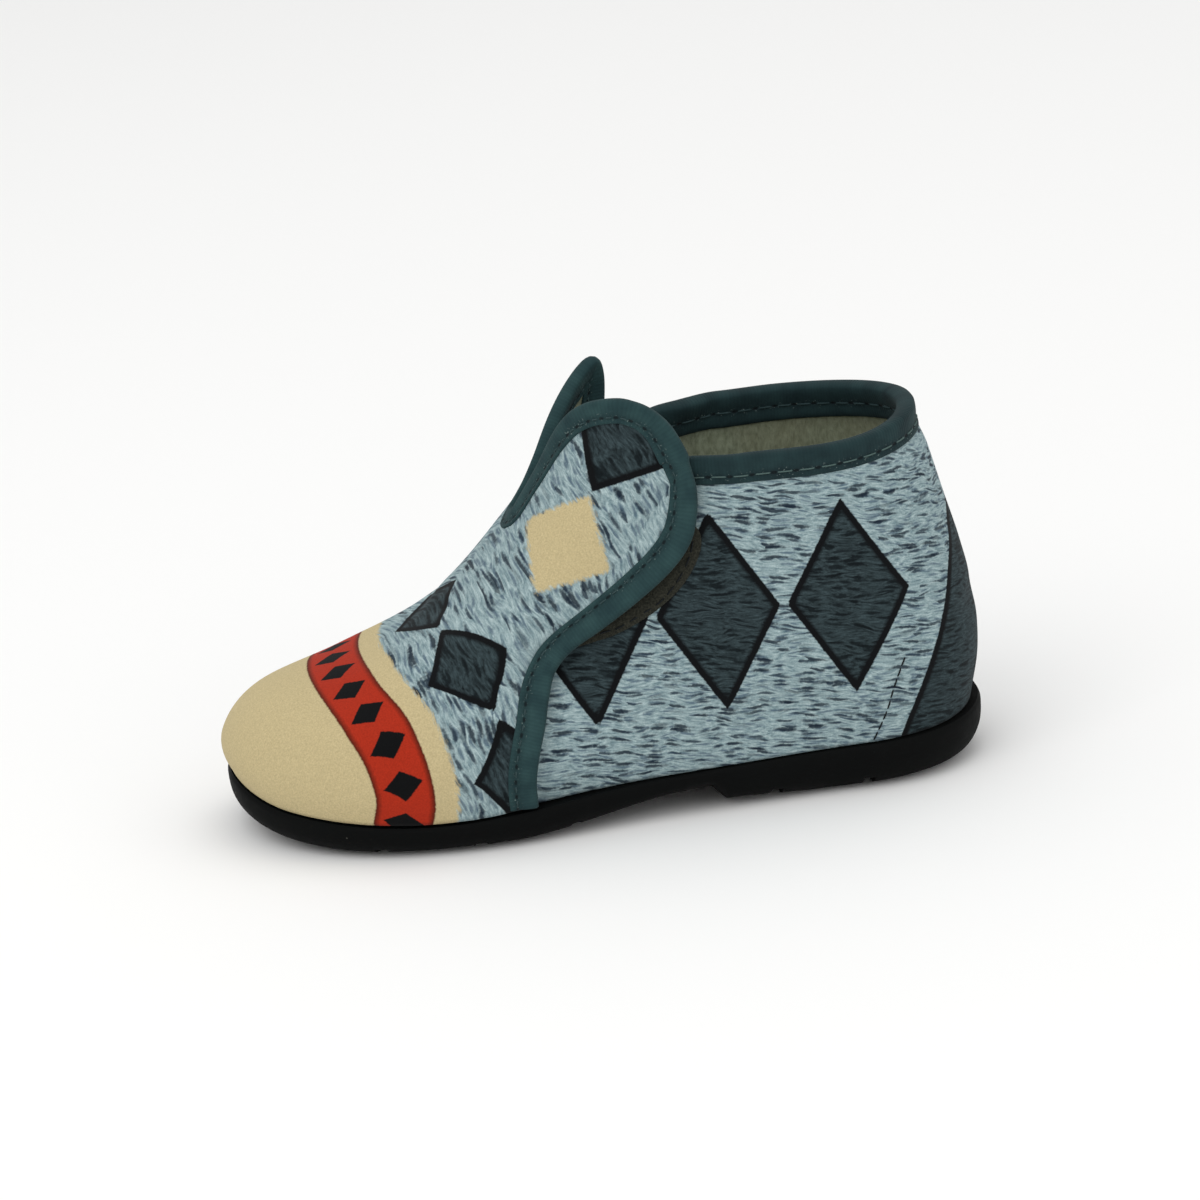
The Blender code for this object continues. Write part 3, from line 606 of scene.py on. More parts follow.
def row_across_vamp(points, side, back):
    """Places in mm along and across a row down one side, which leaves the ridge this far behind the toe."""
    turns = np.linspace(0, ROW_TURN, ROW_SAMPLES)
    line = []
    for level in np.linspace(*ROW_LEVELS, ROW_SAMPLES):
        place = form(side * turns, level)
        reach = behind_toe(place)
        if reach[0] > back:
            break
        line.append(on_line(back, reach, place))
    ridge = form(0, RIDGE_LEVELS)
    line.append(on_line(back, behind_toe(ridge), ridge))
    line = np.array(line)[::-1]
    run = run_of(line)
    even = np.linspace(0, run[-1], ROW_SAMPLES)
    distance, nearest = distance_to(points, on_line(even, run, line))
    return side * even[nearest] / MM, np.sign(behind_toe(points) - back) * distance / MM


def vamp_print(points, side):
    """Print fields and cloth coordinates of half the vamp: bands over the toe, lozenges behind them."""
    x, y, z = np.moveaxis(points / MM, -1, 0)
    band, band_across = row_across_vamp(points, side, RED_MIDDLE)
    chain, chain_across = row_across_vamp(points, side, CHAIN_BACK)
    first = -(CHAIN_COUNT // 2) * CHAIN_PITCH
    chain_slate = lozenge_row(chain, chain_across, CHAIN_LOZENGE, first, CHAIN_PITCH, CHAIN_COUNT)
    turn, level = np.radians(FLAP_CENTRE[0]) * side, np.array(FLAP_CENTRE[1])
    middle = form(turn, level) / MM
    axis = unit(form(np.radians(FLAP_AXIS_END[0]) * side, FLAP_AXIS_END[1]) / MM - middle)
    along = (points / MM - middle) @ axis
    across = (points / MM - middle) @ np.cross(outward(turn, level), axis)
    slate = np.minimum(chain_slate, lozenge(along - FLAP_PITCH, across, FLAP_LOZENGE))
    cream = np.minimum(band_across - RED_HALF - CREAM_STRIP, lozenge(along, across, FLAP_LOZENGE))
    down = x * np.cos(VAMP_LEAN) - z * np.sin(VAMP_LEAN) + VAMP_ROUND * np.abs(y)
    over = x * np.sin(VAMP_LEAN) + z * np.cos(VAMP_LEAN) + MEDIAL_SLIP * ease(y / MEDIAL_REACH)
    return {
        "slate": np.clip(slate, -FAR, FAR),
        "cream": np.clip(cream, -FAR, FAR),
        "red": np.clip(np.abs(band_across) - RED_HALF, -FAR, FAR),
        "band": np.stack([band, np.clip(band_across, -FAR, FAR), np.zeros(x.shape)], -1),
        "cloth": np.stack([VAMP_SCALE[0] * down, VAMP_SCALE[1] * over, np.full(x.shape, FAR)], -1),
    }


def quarter_height(turn, base):
    """Relief of the quarters over the last, none where the vamp lies over them."""
    free = between(half_turn(turn), QUARTER_FREE)
    return free * (creases(base, QUARTER_CREASES) + padding(base, form(*collar_path())))


def build_upper(velour, fleece):
    turns = np.linspace(0, 2 * np.pi, UPPER_COLUMNS, endpoint=False)
    level = np.linspace(0, 1, UPPER_ROWS)[:, None] * collar_level(turns)[None, :]
    turn = np.broadcast_to(turns, level.shape)
    base = form(turn, level)
    points = skin(turn, level, quarter_height(turn, base))
    faces = grid_faces(np.arange(level.size).reshape(level.shape), closed=True)
    upper = piece("quarters", points, faces, [velour, fleece], quarter_print(turn, base),
                  ["upper"])
    give_wall(upper, UPPER_WALL)


def build_vamp(velour, fleece):
    """Both halves as one cloth, joined along the middle up to the notch."""
    edge = form(*vamp_edge_path())
    shares = np.linspace(0, 1, VAMP_HALF_COLUMNS)
    halves = []
    for side in (LATERAL, MEDIAL):
        levels = vamp_levels(side)
        front, rear = vamp_limits(side, levels)
        turn = front[:, None] + shares[None, :] * (rear - front)[:, None]
        level = np.broadcast_to(levels[:, None], turn.shape)
        base = form(turn, level)
        height = vamp_height(turn, level) + VAMP_WALL + padding(base, edge) + creases(base, VAMP_CREASES)
        halves.append({"points": skin(turn, level, height), **vamp_print(base, side)})
    lateral, medial = np.arange(2 * turn.size).reshape(2, *turn.shape)
    medial[:VAMP_ROWS, 0] = lateral[:VAMP_ROWS, 0]
    faces = np.concatenate([grid_faces(lateral), grid_faces(medial)[:, ::-1]])
    used, faces = np.unique(faces, return_inverse=True)
    values = {}
    for key, grid in halves[0].items():
        both = np.stack([grid, halves[1][key]])
        values[key] = both.reshape(2 * turn.size, -1)[used]
    points = values.pop("points")
    vamp = piece("vamp_with_flaps", points, faces.reshape(-1, 4), [velour, fleece], values,
                 ["vamp"])
    give_wall(vamp, VAMP_WALL)


def build_tape(name, turn, level, width, inner_extra, back, wall, look, stands_for):
    """Tape folded over the edge of a wall whose back lies at the height back(turn, level) over the last."""
    edge = skin(turn, level, back(turn, level) + wall / 2)
    inward = unit(np.cross(outward(turn, level), unit(np.gradient(edge, axis=0))))
    shares, layers = np.array(TAPE_FACE).T * ((1,), (MM,))
    outer = [share * width for share in shares]
    past_seam = np.clip(shares - TAPE_SEAM, 0, None) / (1 - TAPE_SEAM)
    inner = [reach + inner_extra * share for reach, share in zip(outer, past_seam)]
    outer_places = [walk(turn, level, inward, reach) for reach in outer]
    inner_places = [walk(turn, level, inward, reach) for reach in inner]
    section = [skin(*place, back(*place) + wall + layer) for place, layer in zip(outer_places, layers)]
    for angle in np.linspace(0, np.pi, TAPE_NOSE_STEPS + 2)[1:-1]:
        middle = skin(turn, level, back(turn, level) + wall / 2 + np.cos(angle) * (wall / 2 + layers[-1]))
        section.append(middle - np.sin(angle) * layers[-1] * inward)
    section += [skin(*place, back(*place) - layer) for place, layer in zip(inner_places[::-1], layers[::-1])]
    rim, fold = outer_places[0], outer_places[-1]
    under = [skin(*place, back(*place) - TAPE_UNDER) for place in (inner_places[0], fold)]
    under += [skin(*place, back(*place) + wall + TAPE_UNDER) for place in (fold, rim)]
    section += under
    at_fold = [0 * width]
    across = outer + TAPE_NOSE_STEPS * at_fold + inner[::-1] + len(under) * at_fold
    rows, columns = len(turn), len(section)
    numbers = np.arange(rows * columns).reshape(rows, columns)
    faces = grid_faces(numbers, closed=True).tolist() + [numbers[0, ::-1].tolist(), numbers[-1].tolist()]
    seam = walk(turn, level, inward, TAPE_SEAM * width)
    run = run_of(skin(*seam, back(*seam) + wall))
    along = np.broadcast_to(run[:, None], (rows, columns))
    cloth = np.stack([along, np.stack(across, 1), np.broadcast_to(width[:, None], along.shape)], -1) / MM
    piece(name, np.stack(section, 1), faces, [look], {"cloth": cloth}, stands_for)
    return seam, run


def stitch_row(name, points, normals, run, look, pitch, length):
    """Row of stitches along a dense line: each thread rises from one needle hole and dips into the next."""
    starts = np.arange((pitch - length) / 2, run[-1] - length, pitch)
    share = np.linspace(0, 1, STITCH_RINGS)
    at = starts[:, None] + share[None, :] * length
    normal = unit(on_line(at, run, normals))
    bow = 1 - np.abs(2 * share - 1) ** STITCH_BOW
    centre = on_line(at, run, points) + (STITCH_RISE * bow - STITCH_SINK * (1 - bow))[None, :, None] * normal
    ahead = unit(np.gradient(centre, axis=1))
    beside = unit(np.cross(ahead, normal))
    above = np.cross(beside, ahead)
    angle = np.linspace(0, 2 * np.pi, STITCH_SIDES, endpoint=False)
    around = np.cos(angle)[:, None] * above[:, :, None, :] + np.sin(angle)[:, None] * beside[:, :, None, :]
    tube = centre[:, :, None, :] + THREAD * around
    numbers = np.arange(tube[..., 0].size).reshape(tube.shape[:3])
    faces = [face for stitch in numbers for face in grid_faces(stitch, closed=True).tolist()]
    faces += numbers[:, 0, ::-1].tolist() + numbers[:, -1].tolist()
    along = np.broadcast_to(at[:, :, None], tube.shape[:3])
    cloth = np.stack([along / MM, np.broadcast_to(angle, along.shape), np.zeros(along.shape)], -1)
    piece(name, tube, faces, [look], {"cloth": cloth})


def tape_seam(name, thread, place, run, back, wall, pitch, length, inner=False):
    """Stitch row through a tape, on its face or on its back."""
    layer = dict(TAPE_FACE)[TAPE_SEAM] * MM
    side = -1 if inner else 1
    height = back(*place) - layer if inner else back(*place) + wall + layer
    stitch_row(name, skin(*place, height), side * outward(*place), run, thread, pitch, length)


def build_bindings(pale_thread, dark_thread):
    turn, level = vamp_edge_path()
    narrowing = np.where(np.abs(turn) < FLAP_TIP_TURN, 1, between(level, FLAP_TAPE_LEVELS))
    width = VAMP_TAPE_WIDTH + (FLAP_TAPE_WIDTH - VAMP_TAPE_WIDTH) * narrowing
    look = ribbed_tape("ribbed_polyester_tape_flat_seam", VAMP_DYES, VAMP_PITCH, *VAMP_HOLE)
    seam = build_tape("vamp_tape", turn, level, width, 0, vamp_height, VAMP_WALL, look, ["vamp_binding"])
    sewn = (*seam, vamp_height, VAMP_WALL, VAMP_PITCH, VAMP_STITCH)
    tape_seam("vamp_tape_stitches", dark_thread, *sewn)
    tape_seam("vamp_tape_stitches_inside", dark_thread, *sewn, inner=True)

    turn, level = collar_path()
    width = np.full(len(turn), COLLAR_TAPE_WIDTH)
    look = ribbed_tape("ribbed_polyester_tape_pulled_seam", COLLAR_DYES, COLLAR_PITCH, *COLLAR_HOLE)
    seam = build_tape("collar_tape", turn, level, width, COLLAR_INNER_EXTRA, upper_back, UPPER_WALL, look,
                      ["collar_binding"])
    sewn = (*seam, upper_back, UPPER_WALL, COLLAR_PITCH, COLLAR_STITCH)
    tape_seam("collar_tape_stitches", pale_thread, *sewn)
    tape_seam("collar_tape_stitches_inside", dark_thread, *sewn, inner=True)


def build_heel_darts(thread):
    """Short stitched dart on each side of the heel."""
    turns, levels = curve_through(HEEL_DART, EDGE_SAMPLES).T
    for side, name in ((LATERAL, "lateral_dart_stitches"), (MEDIAL, "medial_dart_stitches")):
        turn = side * np.radians(turns)
        normal = outward(turn, levels)
        line = form(turn, levels)
        line = line + quarter_height(turn, line)[:, None] * normal
        stitch_row(name, line, normal, run_of(line), thread, DART_PITCH, DART_STITCH)


def patch_place(across, along):
    """Turn and level on the patch for shares -1 to 1 of its height and of its width there."""
    level = np.mean(PATCH_LEVELS) + across * np.ptp(PATCH_LEVELS) / 2
    rounding = (1 - np.abs(PATCH_END * across) ** PATCH_POWER) ** (1 / PATCH_POWER)
    return PATCH_TURN + along * PATCH_HALF_TURN * rounding, level


def build_loop_patch(pile, thread):
    """Loop pad with a thinner rim, pulled down along its stitch row."""
    rows, columns = np.linspace(-1, 1, PATCH_ROWS), np.linspace(-1, 1, PATCH_COLUMNS)
    across, along = np.meshgrid(rows, columns, indexing="ij")
    turn, level = patch_place(across, along)
    rim = np.maximum(np.abs(across), np.abs(along))
    height = GAP + PATCH_THICK * (PATCH_RIM + (1 - PATCH_RIM) * ease((1 - rim) / PATCH_BEVEL))
    dip = SEAM_DIP * np.exp(-(((rim - PATCH_SEAM) / SEAM_DIP_WIDTH) ** 2))
    points = skin(turn, level, height - dip)
    faces = grid_faces(np.arange(turn.size).reshape(turn.shape))
    cloth = form(turn, level) / MM
    patch = piece("loop_patch_pile", points, faces, [pile, pile], {"cloth": cloth},
                  ["loop_patch"])
    give_wall(patch, PATCH_BACKING)
    angle = np.linspace(0, 2 * np.pi, EDGE_SAMPLES)
    square = np.stack([np.sin(angle), np.cos(angle)])
    square = PATCH_SEAM * square / np.maximum(np.abs(square).max(0), np.hypot(*square) / SEAM_CORNER)
    turn, level = patch_place(*square)
    line = skin(turn, level, np.full(turn.shape, GAP + PATCH_THICK - SEAM_DROP))
    stitch_row("loop_patch_stitches", line, outward(turn, level), run_of(line), thread,
               PATCH_PITCH, PATCH_STITCH)


def sole_stations():
    """Turns of the sole's cross strips: even ones, and both edges of each groove and of the heel breast."""
    sharp = [BREAST_TOP, BREAST_FOOT]
    for groove in GROOVES:
        for side in (-1, 1):
            edge = groove + side * GROOVE_WIDTH / 2
            sharp += [edge - GROOVE_SLOPE / 2, edge + GROOVE_SLOPE / 2]
    sharp_turns = np.arccos(1 - 2 * (np.array(sharp) - form(0, 0)[0]) / LAST_LENGTH)
    even = np.linspace(0, np.pi, SOLE_EVEN_STATIONS)
    clear = np.abs(even[:, None] - sharp_turns[None, :]).min(1) > STATION_CLEAR
    return np.sort(np.concatenate([even[clear], sharp_turns]))


def across_faces(ring, downward):
    """Faces across a ring between its two sides, toe to heel."""
    half = len(ring) // 2
    lateral, medial = ring[1:half], ring[:half:-1]
    faces = [(ring[1], ring[0], ring[-1])]
    faces += list(zip(lateral[1:], lateral[:-1], medial[:-1], medial[1:]))
    faces.append((ring[half], ring[half - 1], ring[half + 1]))
    return faces if downward else [face[::-1] for face in faces]


def ring_piece(name, rings, look, stands_for):
    """Closed piece through rings around the foot, from its underside up."""
    points = np.stack(rings)
    numbers = np.arange(points.size // 3).reshape(points.shape[:2])
    faces = grid_faces(numbers, closed=True).tolist()
    faces += across_faces(numbers[0].tolist(), True) + across_faces(numbers[-1].tolist(), False)
    return piece(name, points, faces, [look], {"cloth": points / MM}, stands_for)


def build_outsole(look):
    turns = loop_of(sole_stations())
    feather = form(turns, 0)
    x = feather[:, 0]
    place, margin = np.array(SOLE_MARGINS).T * MM
    outset = np.interp(x, place, margin)
    top = feather[:, 2] - GAP
    floor = tread_height(x)
    in_groove = np.any([np.abs(x - groove) < GROOVE_WIDTH / 2 for groove in GROOVES], axis=0)
    rings = []
    for setback, share in curve_through(SOLE_RINGS, SOLE_SIDE_STEPS + 1)[::-1]:
        groove = np.where(in_groove, GROOVE_DEPTH * ease(1 - share / GROOVE_TOP), 0)
        height = floor + np.clip(share, 0, 1) * (top - floor) + groove
        rings.append(ring_points(turns, outset - setback * MM, height))
    sole = ring_piece("moulded_sole", rings, look, ["outsole"])
    sole.data.set_sharp_from_angle(angle=SOLE_SHARP)


def build_footbed(look):
    """Soft footbed: rings from the edge to the middle line, pressed down in the middle."""
    turns = loop_of(np.linspace(0, np.pi, SOLE_EVEN_STATIONS))
    under = form(turns, 0)[:, 2]
    edge = ring_points(turns, np.full(len(turns), -FOOTBED_INSET), under)
    mirror = edge.copy()
    mirror[1:] = edge[:0:-1]
    middle = (edge + mirror) / 2
    toe, heel = edge[:, 0].min() + MIDDLE_ENDS[0], edge[:, 0].max() - MIDDLE_ENDS[1]
    middle[:, 0] = np.clip(middle[:, 0], toe, heel)
    middle[:, 2] = np.interp(middle[:, 0], edge[:len(turns) // 2, 0], under[:len(turns) // 2])
    rings = [edge]
    for share in np.linspace(0, 1, FOOTBED_RINGS):
        ring = edge + (middle - edge) * (share * FOOTBED_LAST_RING)
        rounding = np.sqrt(1 - (1 - np.clip(share / FOOTBED_ROUND, 0, 1)) ** 2)
        thick = INSOLE_THICK * (FOOTBED_EDGE + (1 - FOOTBED_EDGE) * rounding)
        ring[:, 2] += thick - FOOTBED_DISH * ease(share / DISH_REACH)
        rings.append(ring)
    footbed = ring_piece("footbed", rings, look, ["insole"])


def rgb(code):
    """Linear colour from an sRGB hex code."""
    channels = [int(code[i:i + 2], 16) / 255 for i in (1, 3, 5)]
    return (*[c / 12.92 if c <= 0.04045 else ((c + 0.055) / 1.055) ** 2.4 for c in channels], 1)


def feed(tree, socket, source):
    """Set a socket to a value, or link it to an output, or to a node's first output in use."""
    if isinstance(source, bpy.types.Node):
        source = next(output for output in source.outputs if output.enabled)
    if isinstance(source, bpy.types.NodeSocket):
        tree.links.new(source, socket)
    else:
        socket.default_value = source


def node(tree, kind, *sources, **named):
    """Add a node: sources feed its sockets in turn, Capital names feed a socket, others are settings."""
    made = tree.nodes.new("ShaderNode" + kind)
    for name, value in named.items():
        if name[0].islower():
            setattr(made, name, value)
    sockets = [socket for socket in made.inputs if socket.enabled]
    for socket, source in zip(sockets, sources):
        feed(tree, socket, source)
    for name, source in named.items():
        if name[0].isupper():
            feed(tree, next(socket for socket in sockets if socket.name == name.replace("_", " ")), source)
    return made


def dress(look, **sources):
    """Feed sockets of a look's shader."""
    shader = look.node_tree.nodes["Principled BSDF"]
    for name, source in sources.items():
        feed(look.node_tree, shader.inputs[name.replace("_", " ")], source)
    return look


def new_look(name, **constants):
    """Material with a Principled shader, and its tree."""
    look = bpy.data.materials.new(name)
    look.use_nodes = True
    return dress(look, **constants), look.node_tree


# A noise's Scale is 1 over the size of its grain, in mm on cloth coordinates, in metres on object ones.
# Nap, ribs, twist, pile and mould grain are drawn coarser than they are, so that they show in the render.


def printed_velour():
    """Foam-backed polyester velour, transfer printed: matt short nap, soft print edges, streaked heather."""
    look, tree = new_look("printed_velour", Roughness=0.95, Sheen_Weight=0.04, Sheen_Roughness=0.5,
                          Specular_IOR_Level=0.1)
    cloth = node(tree, "Attribute", attribute_name="cloth").outputs["Vector"]
    place = node(tree, "TexCoord").outputs["Object"]

    # Heather: a streaked ground under dashes, in rows that drift and slip past each other
    drift = node(tree, "TexNoise", cloth, Scale=1 / 6.25, Detail=1.0)
    drifted = node(tree, "VectorMath", drift.outputs["Color"], (5.0, 1.9, 0), cloth, operation="MULTIPLY_ADD")
    rows = node(tree, "SeparateXYZ", drifted)
    slip = node(tree, "TexNoise", rows.outputs[1], Scale=0.45, Detail=1.0, noise_dimensions="1D")
    slipped = node(tree, "Math", slip, 9.0, rows.outputs[0], operation="MULTIPLY_ADD")
    bent = node(tree, "CombineXYZ", slipped, rows.outputs[1])
    streaky = node(tree, "Mapping", bent, Scale=(0.55, 2.1, 1))
    ground = node(tree, "TexNoise", streaky, Scale=1.0, Detail=5.0, Roughness=0.65)
    pale = node(tree, "MapRange", ground, 0.34, 0.66)
    heather = node(tree, "Mix", pale, rgb("#627980"), rgb("#a9bcbd"), data_type="RGBA")
    ragged = node(tree, "MapRange", node(tree, "TexNoise", place, Scale=1.3 / MM), To_Min=-0.2, To_Max=0.2)
    dashes = []
    for cell, kept, sizes, dye, strength in DASHES:
        at = node(tree, "Mapping", bent, Scale=(1 / cell[0], 1 / cell[1], 1))
        spot = node(tree, "TexVoronoi", at, Scale=1.0, voronoi_dimensions="2D")
        lot = node(tree, "SeparateColor", spot.outputs["Color"])
        keep = node(tree, "MapRange", lot, *kept, To_Max=strength)
        mark = node(tree, "MapRange", node(tree, "Math", spot, ragged, operation="ADD"), *sizes)
        dashes.append(node(tree, "Math", keep, mark, operation="MULTIPLY"))
        heather = node(tree, "Mix", dashes[-1], heather, rgb(dye), data_type="RGBA")

    # Edges of the print in mm: the inks bleed a little into the nap, the cream one feathers along the streaks
    bleed = node(tree, "MapRange", node(tree, "TexNoise", place, Scale=1.8 / MM), To_Min=-0.2, To_Max=0.2)
    feather = node(tree, "MapRange", ground, To_Min=-1.6, To_Max=1.6)
    band = node(tree, "SeparateXYZ", node(tree, "Attribute", attribute_name="band").outputs["Vector"])
    along = node(tree, "Math", band.outputs[0], BLACK_PITCH / 2, operation="PINGPONG")
    across = node(tree, "Math", band.outputs[1], operation="ABSOLUTE")
    slope = BLACK_LOZENGE[0] / BLACK_LOZENGE[1]
    from_middle = node(tree, "Math", across, slope, along, operation="MULTIPLY_ADD")
    edges = {"black": node(tree, "Math", from_middle, BLACK_LOZENGE[0], operation="SUBTRACT")}
    for ink in ("slate", "cream", "red"):
        edges[ink] = node(tree, "Attribute", attribute_name=ink).outputs["Fac"]
    for ink, edge in edges.items():
        edges[ink] = node(tree, "Math", edge, feather if ink == "cream" else bleed, operation="ADD")

    # Inks: slate with its own dashes and a dark outline, mottled cream, red with a dark rim, black
    slate = node(tree, "Mix", node(tree, "MapRange", ground, 0.3, 0.7), rgb("#0b1113"), rgb("#3f4e52"),
                 data_type="RGBA")
    outline = node(tree, "MapRange", edges["slate"], -1.8, -1.1)
    for share, dye in ((dashes[1], "#0d1417"), (dashes[2], "#0d1417"), (outline, "#0c0e10")):
        slate = node(tree, "Mix", share, slate, rgb(dye), data_type="RGBA")
    mottle = node(tree, "TexNoise", place, Scale=2.4 / MM, Detail=3.0)
    cream = node(tree, "Mix", mottle, rgb("#c2b38b"), rgb("#b5a57c"), data_type="RGBA")
    rim = node(tree, "MapRange", edges["red"], -1.3, -0.2)
    red = node(tree, "Mix", rim, rgb("#a32c18"), rgb("#571d10"), data_type="RGBA")
    colour = heather
    for ink, dye, soft in (("slate", slate, 0.12), ("cream", cream, 0.4), ("red", red, 0.15),
                           ("black", rgb("#0b0c0d"), 0.12)):
        inside = node(tree, "MapRange", edges[ink], soft, -soft)
        colour = node(tree, "Mix", inside, colour, dye, data_type="RGBA")

    fleck = node(tree, "MapRange", node(tree, "TexNoise", place, Scale=3.0 / MM), 0.3, 0.7, 0.86, 1.1)
    colour = node(tree, "Mix", 1.0, colour, fleck, data_type="RGBA", blend_type="MULTIPLY")
    nap = node(tree, "TexNoise", place, Scale=2.8 / MM, Detail=3.0, Roughness=0.7)
    bump = node(tree, "Bump", Height=nap, Strength=0.5, Distance=0.12 * MM)
    return dress(look, Base_Color=colour, Normal=bump)


def ribbed_tape(name, dyes, pitch, hole_size, hole_shade):
    """Woven polyester binding tape: fine cross ribs, a dull sheen, painted shade in the rib valleys, the seam
    groove and the needle holes, and painted glints of thread along its seam.
    """
    look, tree = new_look(name, Roughness=0.85, Sheen_Weight=0.03, Specular_IOR_Level=0.12)
    cloth = node(tree, "Attribute", attribute_name="cloth").outputs["Vector"]
    along, across, width = node(tree, "SeparateXYZ", cloth).outputs
    ribs = node(tree, "Math", along, 2 * np.pi / 0.75, operation="MULTIPLY")
    wave = node(tree, "Math", ribs, operation="SINE")
    fuzz = node(tree, "TexNoise", cloth, Scale=2.2, Detail=3.0)
    patchy = node(tree, "MapRange", node(tree, "TexNoise", cloth, Scale=1 / 4), 0.3, 0.7)
    colour = node(tree, "Mix", patchy, rgb(dyes[0]), rgb(dyes[1]), data_type="RGBA")
    # painted shade in the valleys between the ribs, following the same wave as their bump
    rib_valley_shade = node(tree, "MapRange", wave, -1.0, 1.0, 0.12, 0.0)
    seam_at = node(tree, "Math", width, TAPE_SEAM, operation="MULTIPLY")
    off_seam = node(tree, "Math", across, seam_at, operation="SUBTRACT")
    by_seam = node(tree, "MapRange", node(tree, "Math", off_seam, operation="ABSOLUTE"), 1.3, 0.3)
    # painted shade in the groove that the stitch row pulls into the tape
    dip = node(tree, "Math", by_seam, 0.3, operation="MULTIPLY")
    # painted glints of the stitching thread: pale specks along the stitch row
    glint_specks = node(tree, "MapRange", fuzz, 0.63, 0.72, To_Max=0.55)
    thread_glint = node(tree, "Math", glint_specks, by_seam, operation="MULTIPLY")
    # painted shade in the needle holes: dark spots at each hole along the stitch row
    from_hole = node(tree, "Math", along, pitch / MM / 2, operation="PINGPONG")
    beside_hole = node(tree, "Math", off_seam, 2.0, operation="MULTIPLY")
    hole_way = node(tree, "VectorMath", node(tree, "CombineXYZ", from_hole, beside_hole), operation="LENGTH")
    hole = node(tree, "MapRange", hole_way, hole_size, hole_size / 2, To_Max=hole_shade)
    # mix in the painted shade of rib valleys, seam groove and needle holes, and the painted thread glints
    for share, shade in ((rib_valley_shade, "#0f1d20"), (dip, "#0f1d20"), (thread_glint, "#93a39e"), (hole, "#0d1518")):
        colour = node(tree, "Mix", share, colour, rgb(shade), data_type="RGBA")
    relief = node(tree, "Math", wave, 0.22, fuzz, operation="MULTIPLY_ADD")
    pitted = node(tree, "Math", hole, -3.0, relief, operation="MULTIPLY_ADD")
    bump = node(tree, "Bump", Height=pitted, Strength=0.6, Distance=0.12 * MM)
    return dress(look, Base_Color=colour, Normal=bump)


def spun_thread(name, colour):
    """Spun polyester sewing thread: a fine twist and a slight shine."""
    look, tree = new_look(name, Base_Color=rgb(colour), Roughness=0.7, Specular_IOR_Level=0.2)
    cloth = node(tree, "Attribute", attribute_name="cloth").outputs["Vector"]
    along_twist = node(tree, "VectorMath", cloth, (9.0, 2.0, 0), operation="DOT_PRODUCT")
    twist = node(tree, "Math", along_twist, operation="SINE")
    return dress(look, Normal=node(tree, "Bump", Height=twist, Strength=0.6, Distance=0.05 * MM))


def brushed_fleece():
    """Knitted fleece, brushed: tangled nap with small tufts that scatter light at their tips."""
    look, tree = new_look("brushed_fleece", Roughness=0.97, Sheen_Weight=0.15, Sheen_Roughness=0.6,
                          Specular_IOR_Level=0.08)
    place = node(tree, "TexCoord").outputs["Object"]
    brushed = node(tree, "Mapping", place, Scale=(1.1 / MM, 1.1 / MM, 0.4 / MM))
    tufts = node(tree, "TexNoise", brushed, Scale=1.0, Detail=4.0, Roughness=0.6)
    lit = node(tree, "MapRange", tufts, 0.25, 0.75)
    colour = node(tree, "Mix", lit, rgb("#6c725c"), rgb("#9ca58d"), data_type="RGBA")
    worn = node(tree, "MapRange", node(tree, "TexNoise", place, Scale=0.05 / MM), 0.4, 0.7, To_Max=0.4)
    colour = node(tree, "Mix", worn, colour, rgb("#7b7458"), data_type="RGBA")
    bump = node(tree, "Bump", Height=tufts, Strength=0.8, Distance=0.5 * MM)
    return dress(look, Base_Color=colour, Normal=bump)


def loop_pile():
    """Knitted loop tape of a hook-and-loop fastener: dull, with a curled pile."""
    look, tree = new_look("knitted_loop_pile", Roughness=0.95, Sheen_Weight=0.05, Specular_IOR_Level=0.1)
    cloth = node(tree, "Attribute", attribute_name="cloth").outputs["Vector"]
    loops = node(tree, "TexVoronoi", cloth, Scale=1.3, feature="SMOOTH_F1")
    fibres = node(tree, "TexNoise", cloth, Scale=2.4, Detail=4.0)
    lit = node(tree, "MapRange", fibres, 0.3, 0.7)
    colour = node(tree, "Mix", lit, rgb("#1b1d18"), rgb("#35352d"), data_type="RGBA")
    curled = node(tree, "Math", loops, -0.8, fibres, operation="MULTIPLY_ADD")
    bump = node(tree, "Bump", Height=curled, Strength=0.8, Distance=0.35 * MM)
    return dress(look, Base_Color=colour, Normal=bump)


def moulded_rubber():
    """Thermoplastic rubber, injection moulded: matt black, a fine mould grain, a few specks of dust."""
    look, tree = new_look("moulded_rubber", Specular_IOR_Level=0.08)
    cloth = node(tree, "Attribute", attribute_name="cloth").outputs["Vector"]
    grain = node(tree, "TexNoise", cloth, Scale=1 / 0.5, Detail=3.0)
    film = node(tree, "TexNoise", cloth, Scale=0.12, Detail=5.0, Roughness=0.7)
    filmed = node(tree, "MapRange", film, 0.45, 0.75, To_Max=0.6)
    colour = node(tree, "Mix", filmed, rgb("#040505"), rgb("#0d100f"), data_type="RGBA")
    speck = node(tree, "TexVoronoi", cloth, Scale=0.13)
    dust = node(tree, "MapRange", speck, 0.035, 0.015, To_Max=0.5)
    colour = node(tree, "Mix", dust, colour, rgb("#77786f"), data_type="RGBA")
    dull = node(tree, "MapRange", film, 0.3, 0.7, 0.6, 0.85)
    bump = node(tree, "Bump", Height=grain, Strength=0.4, Distance=0.1 * MM)
    return dress(look, Base_Color=colour, Roughness=dull, Normal=bump)


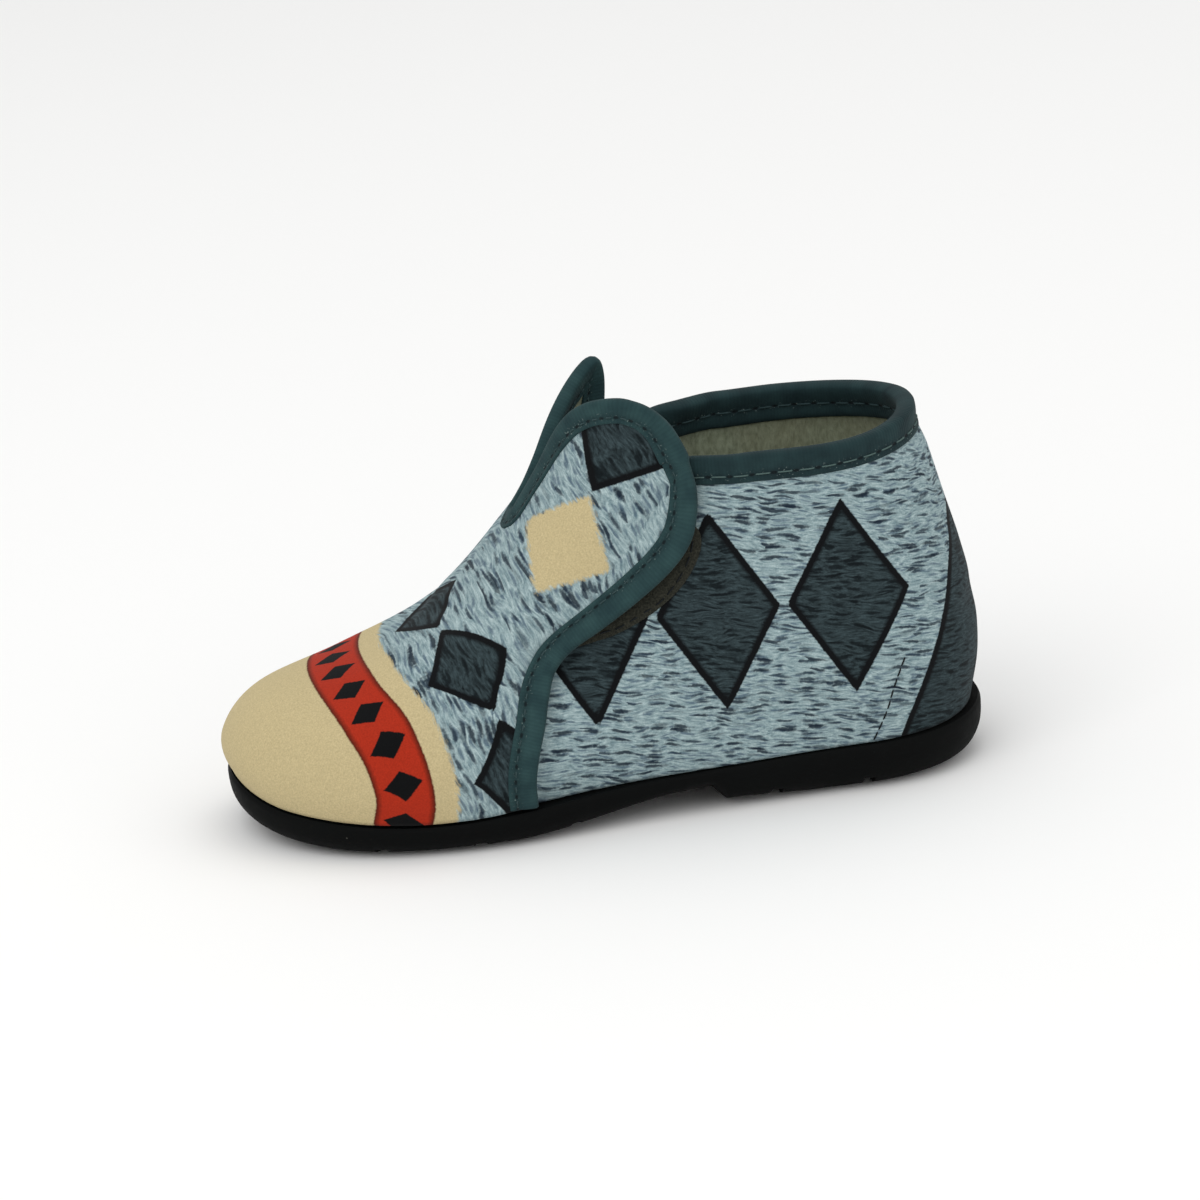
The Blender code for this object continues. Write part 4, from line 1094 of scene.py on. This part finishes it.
def build_studio():
    """Pale floor, soft light and the camera at the photograph's angle."""
    bpy.ops.mesh.primitive_plane_add(size=FLOOR_SIZE)
    floor = bpy.context.object
    floor.name = "floor"
    paper, _ = new_look("white_paper_sweep", Base_Color=rgb("#f5f5f4"), Roughness=0.9)
    floor.data.materials.append(paper)

    scene = bpy.context.scene
    world = bpy.data.worlds.new("studio")
    world.use_nodes = True
    sky = world.node_tree.nodes["Background"]
    sky.inputs["Color"].default_value = (1, 1, 1, 1)
    sky.inputs["Strength"].default_value = WORLD_LIGHT
    scene.world = world
    scene.view_settings.view_transform = "Standard"

    aim = Vector(np.array(CAMERA_AIM) + SHIFT)
    for name, place, size, power in LAMPS:
        lamp = bpy.data.lights.new(name, "AREA")
        lamp.size = size
        lamp.energy = power
        holder = bpy.data.objects.new(name, lamp)
        holder.location = place
        holder.rotation_euler = (Vector(place) - aim).to_track_quat("Z", "Y").to_euler()
        scene.collection.objects.link(holder)

    turn, rise, roll = CAMERA_TURN, CAMERA_RISE, CAMERA_ROLL
    back = Vector((np.sin(turn) * np.cos(rise), -np.cos(turn) * np.cos(rise), np.sin(rise)))
    right = Vector((np.cos(turn), np.sin(turn), 0))
    up = Vector((-np.sin(turn) * np.sin(rise), np.cos(turn) * np.sin(rise), np.cos(rise)))
    lens = bpy.data.cameras.new("camera")
    lens.lens = CAMERA_LENS
    lens.sensor_width = CAMERA_SENSOR
    camera = bpy.data.objects.new("camera", lens)
    axes = (right * np.cos(roll) - up * np.sin(roll), right * np.sin(roll) + up * np.cos(roll), back)
    turned = Matrix(axes).transposed().to_4x4()
    camera.matrix_world = Matrix.Translation(aim + back * CAMERA_DISTANCE) @ turned
    scene.collection.objects.link(camera)
    scene.camera = camera


def main():
    velour, fleece = printed_velour(), brushed_fleece()
    pale_thread = spun_thread("spun_polyester_thread_pale", "#4f6461")
    dark_thread = spun_thread("spun_polyester_thread_dark", "#35494b")
    black_thread = spun_thread("spun_polyester_thread_black", "#12171a")
    build_upper(velour, fleece)
    build_vamp(velour, fleece)
    build_bindings(pale_thread, dark_thread)
    build_heel_darts(black_thread)
    build_loop_patch(loop_pile(), black_thread)
    build_outsole(moulded_rubber())
    build_footbed(fleece)
    build_studio()


main()
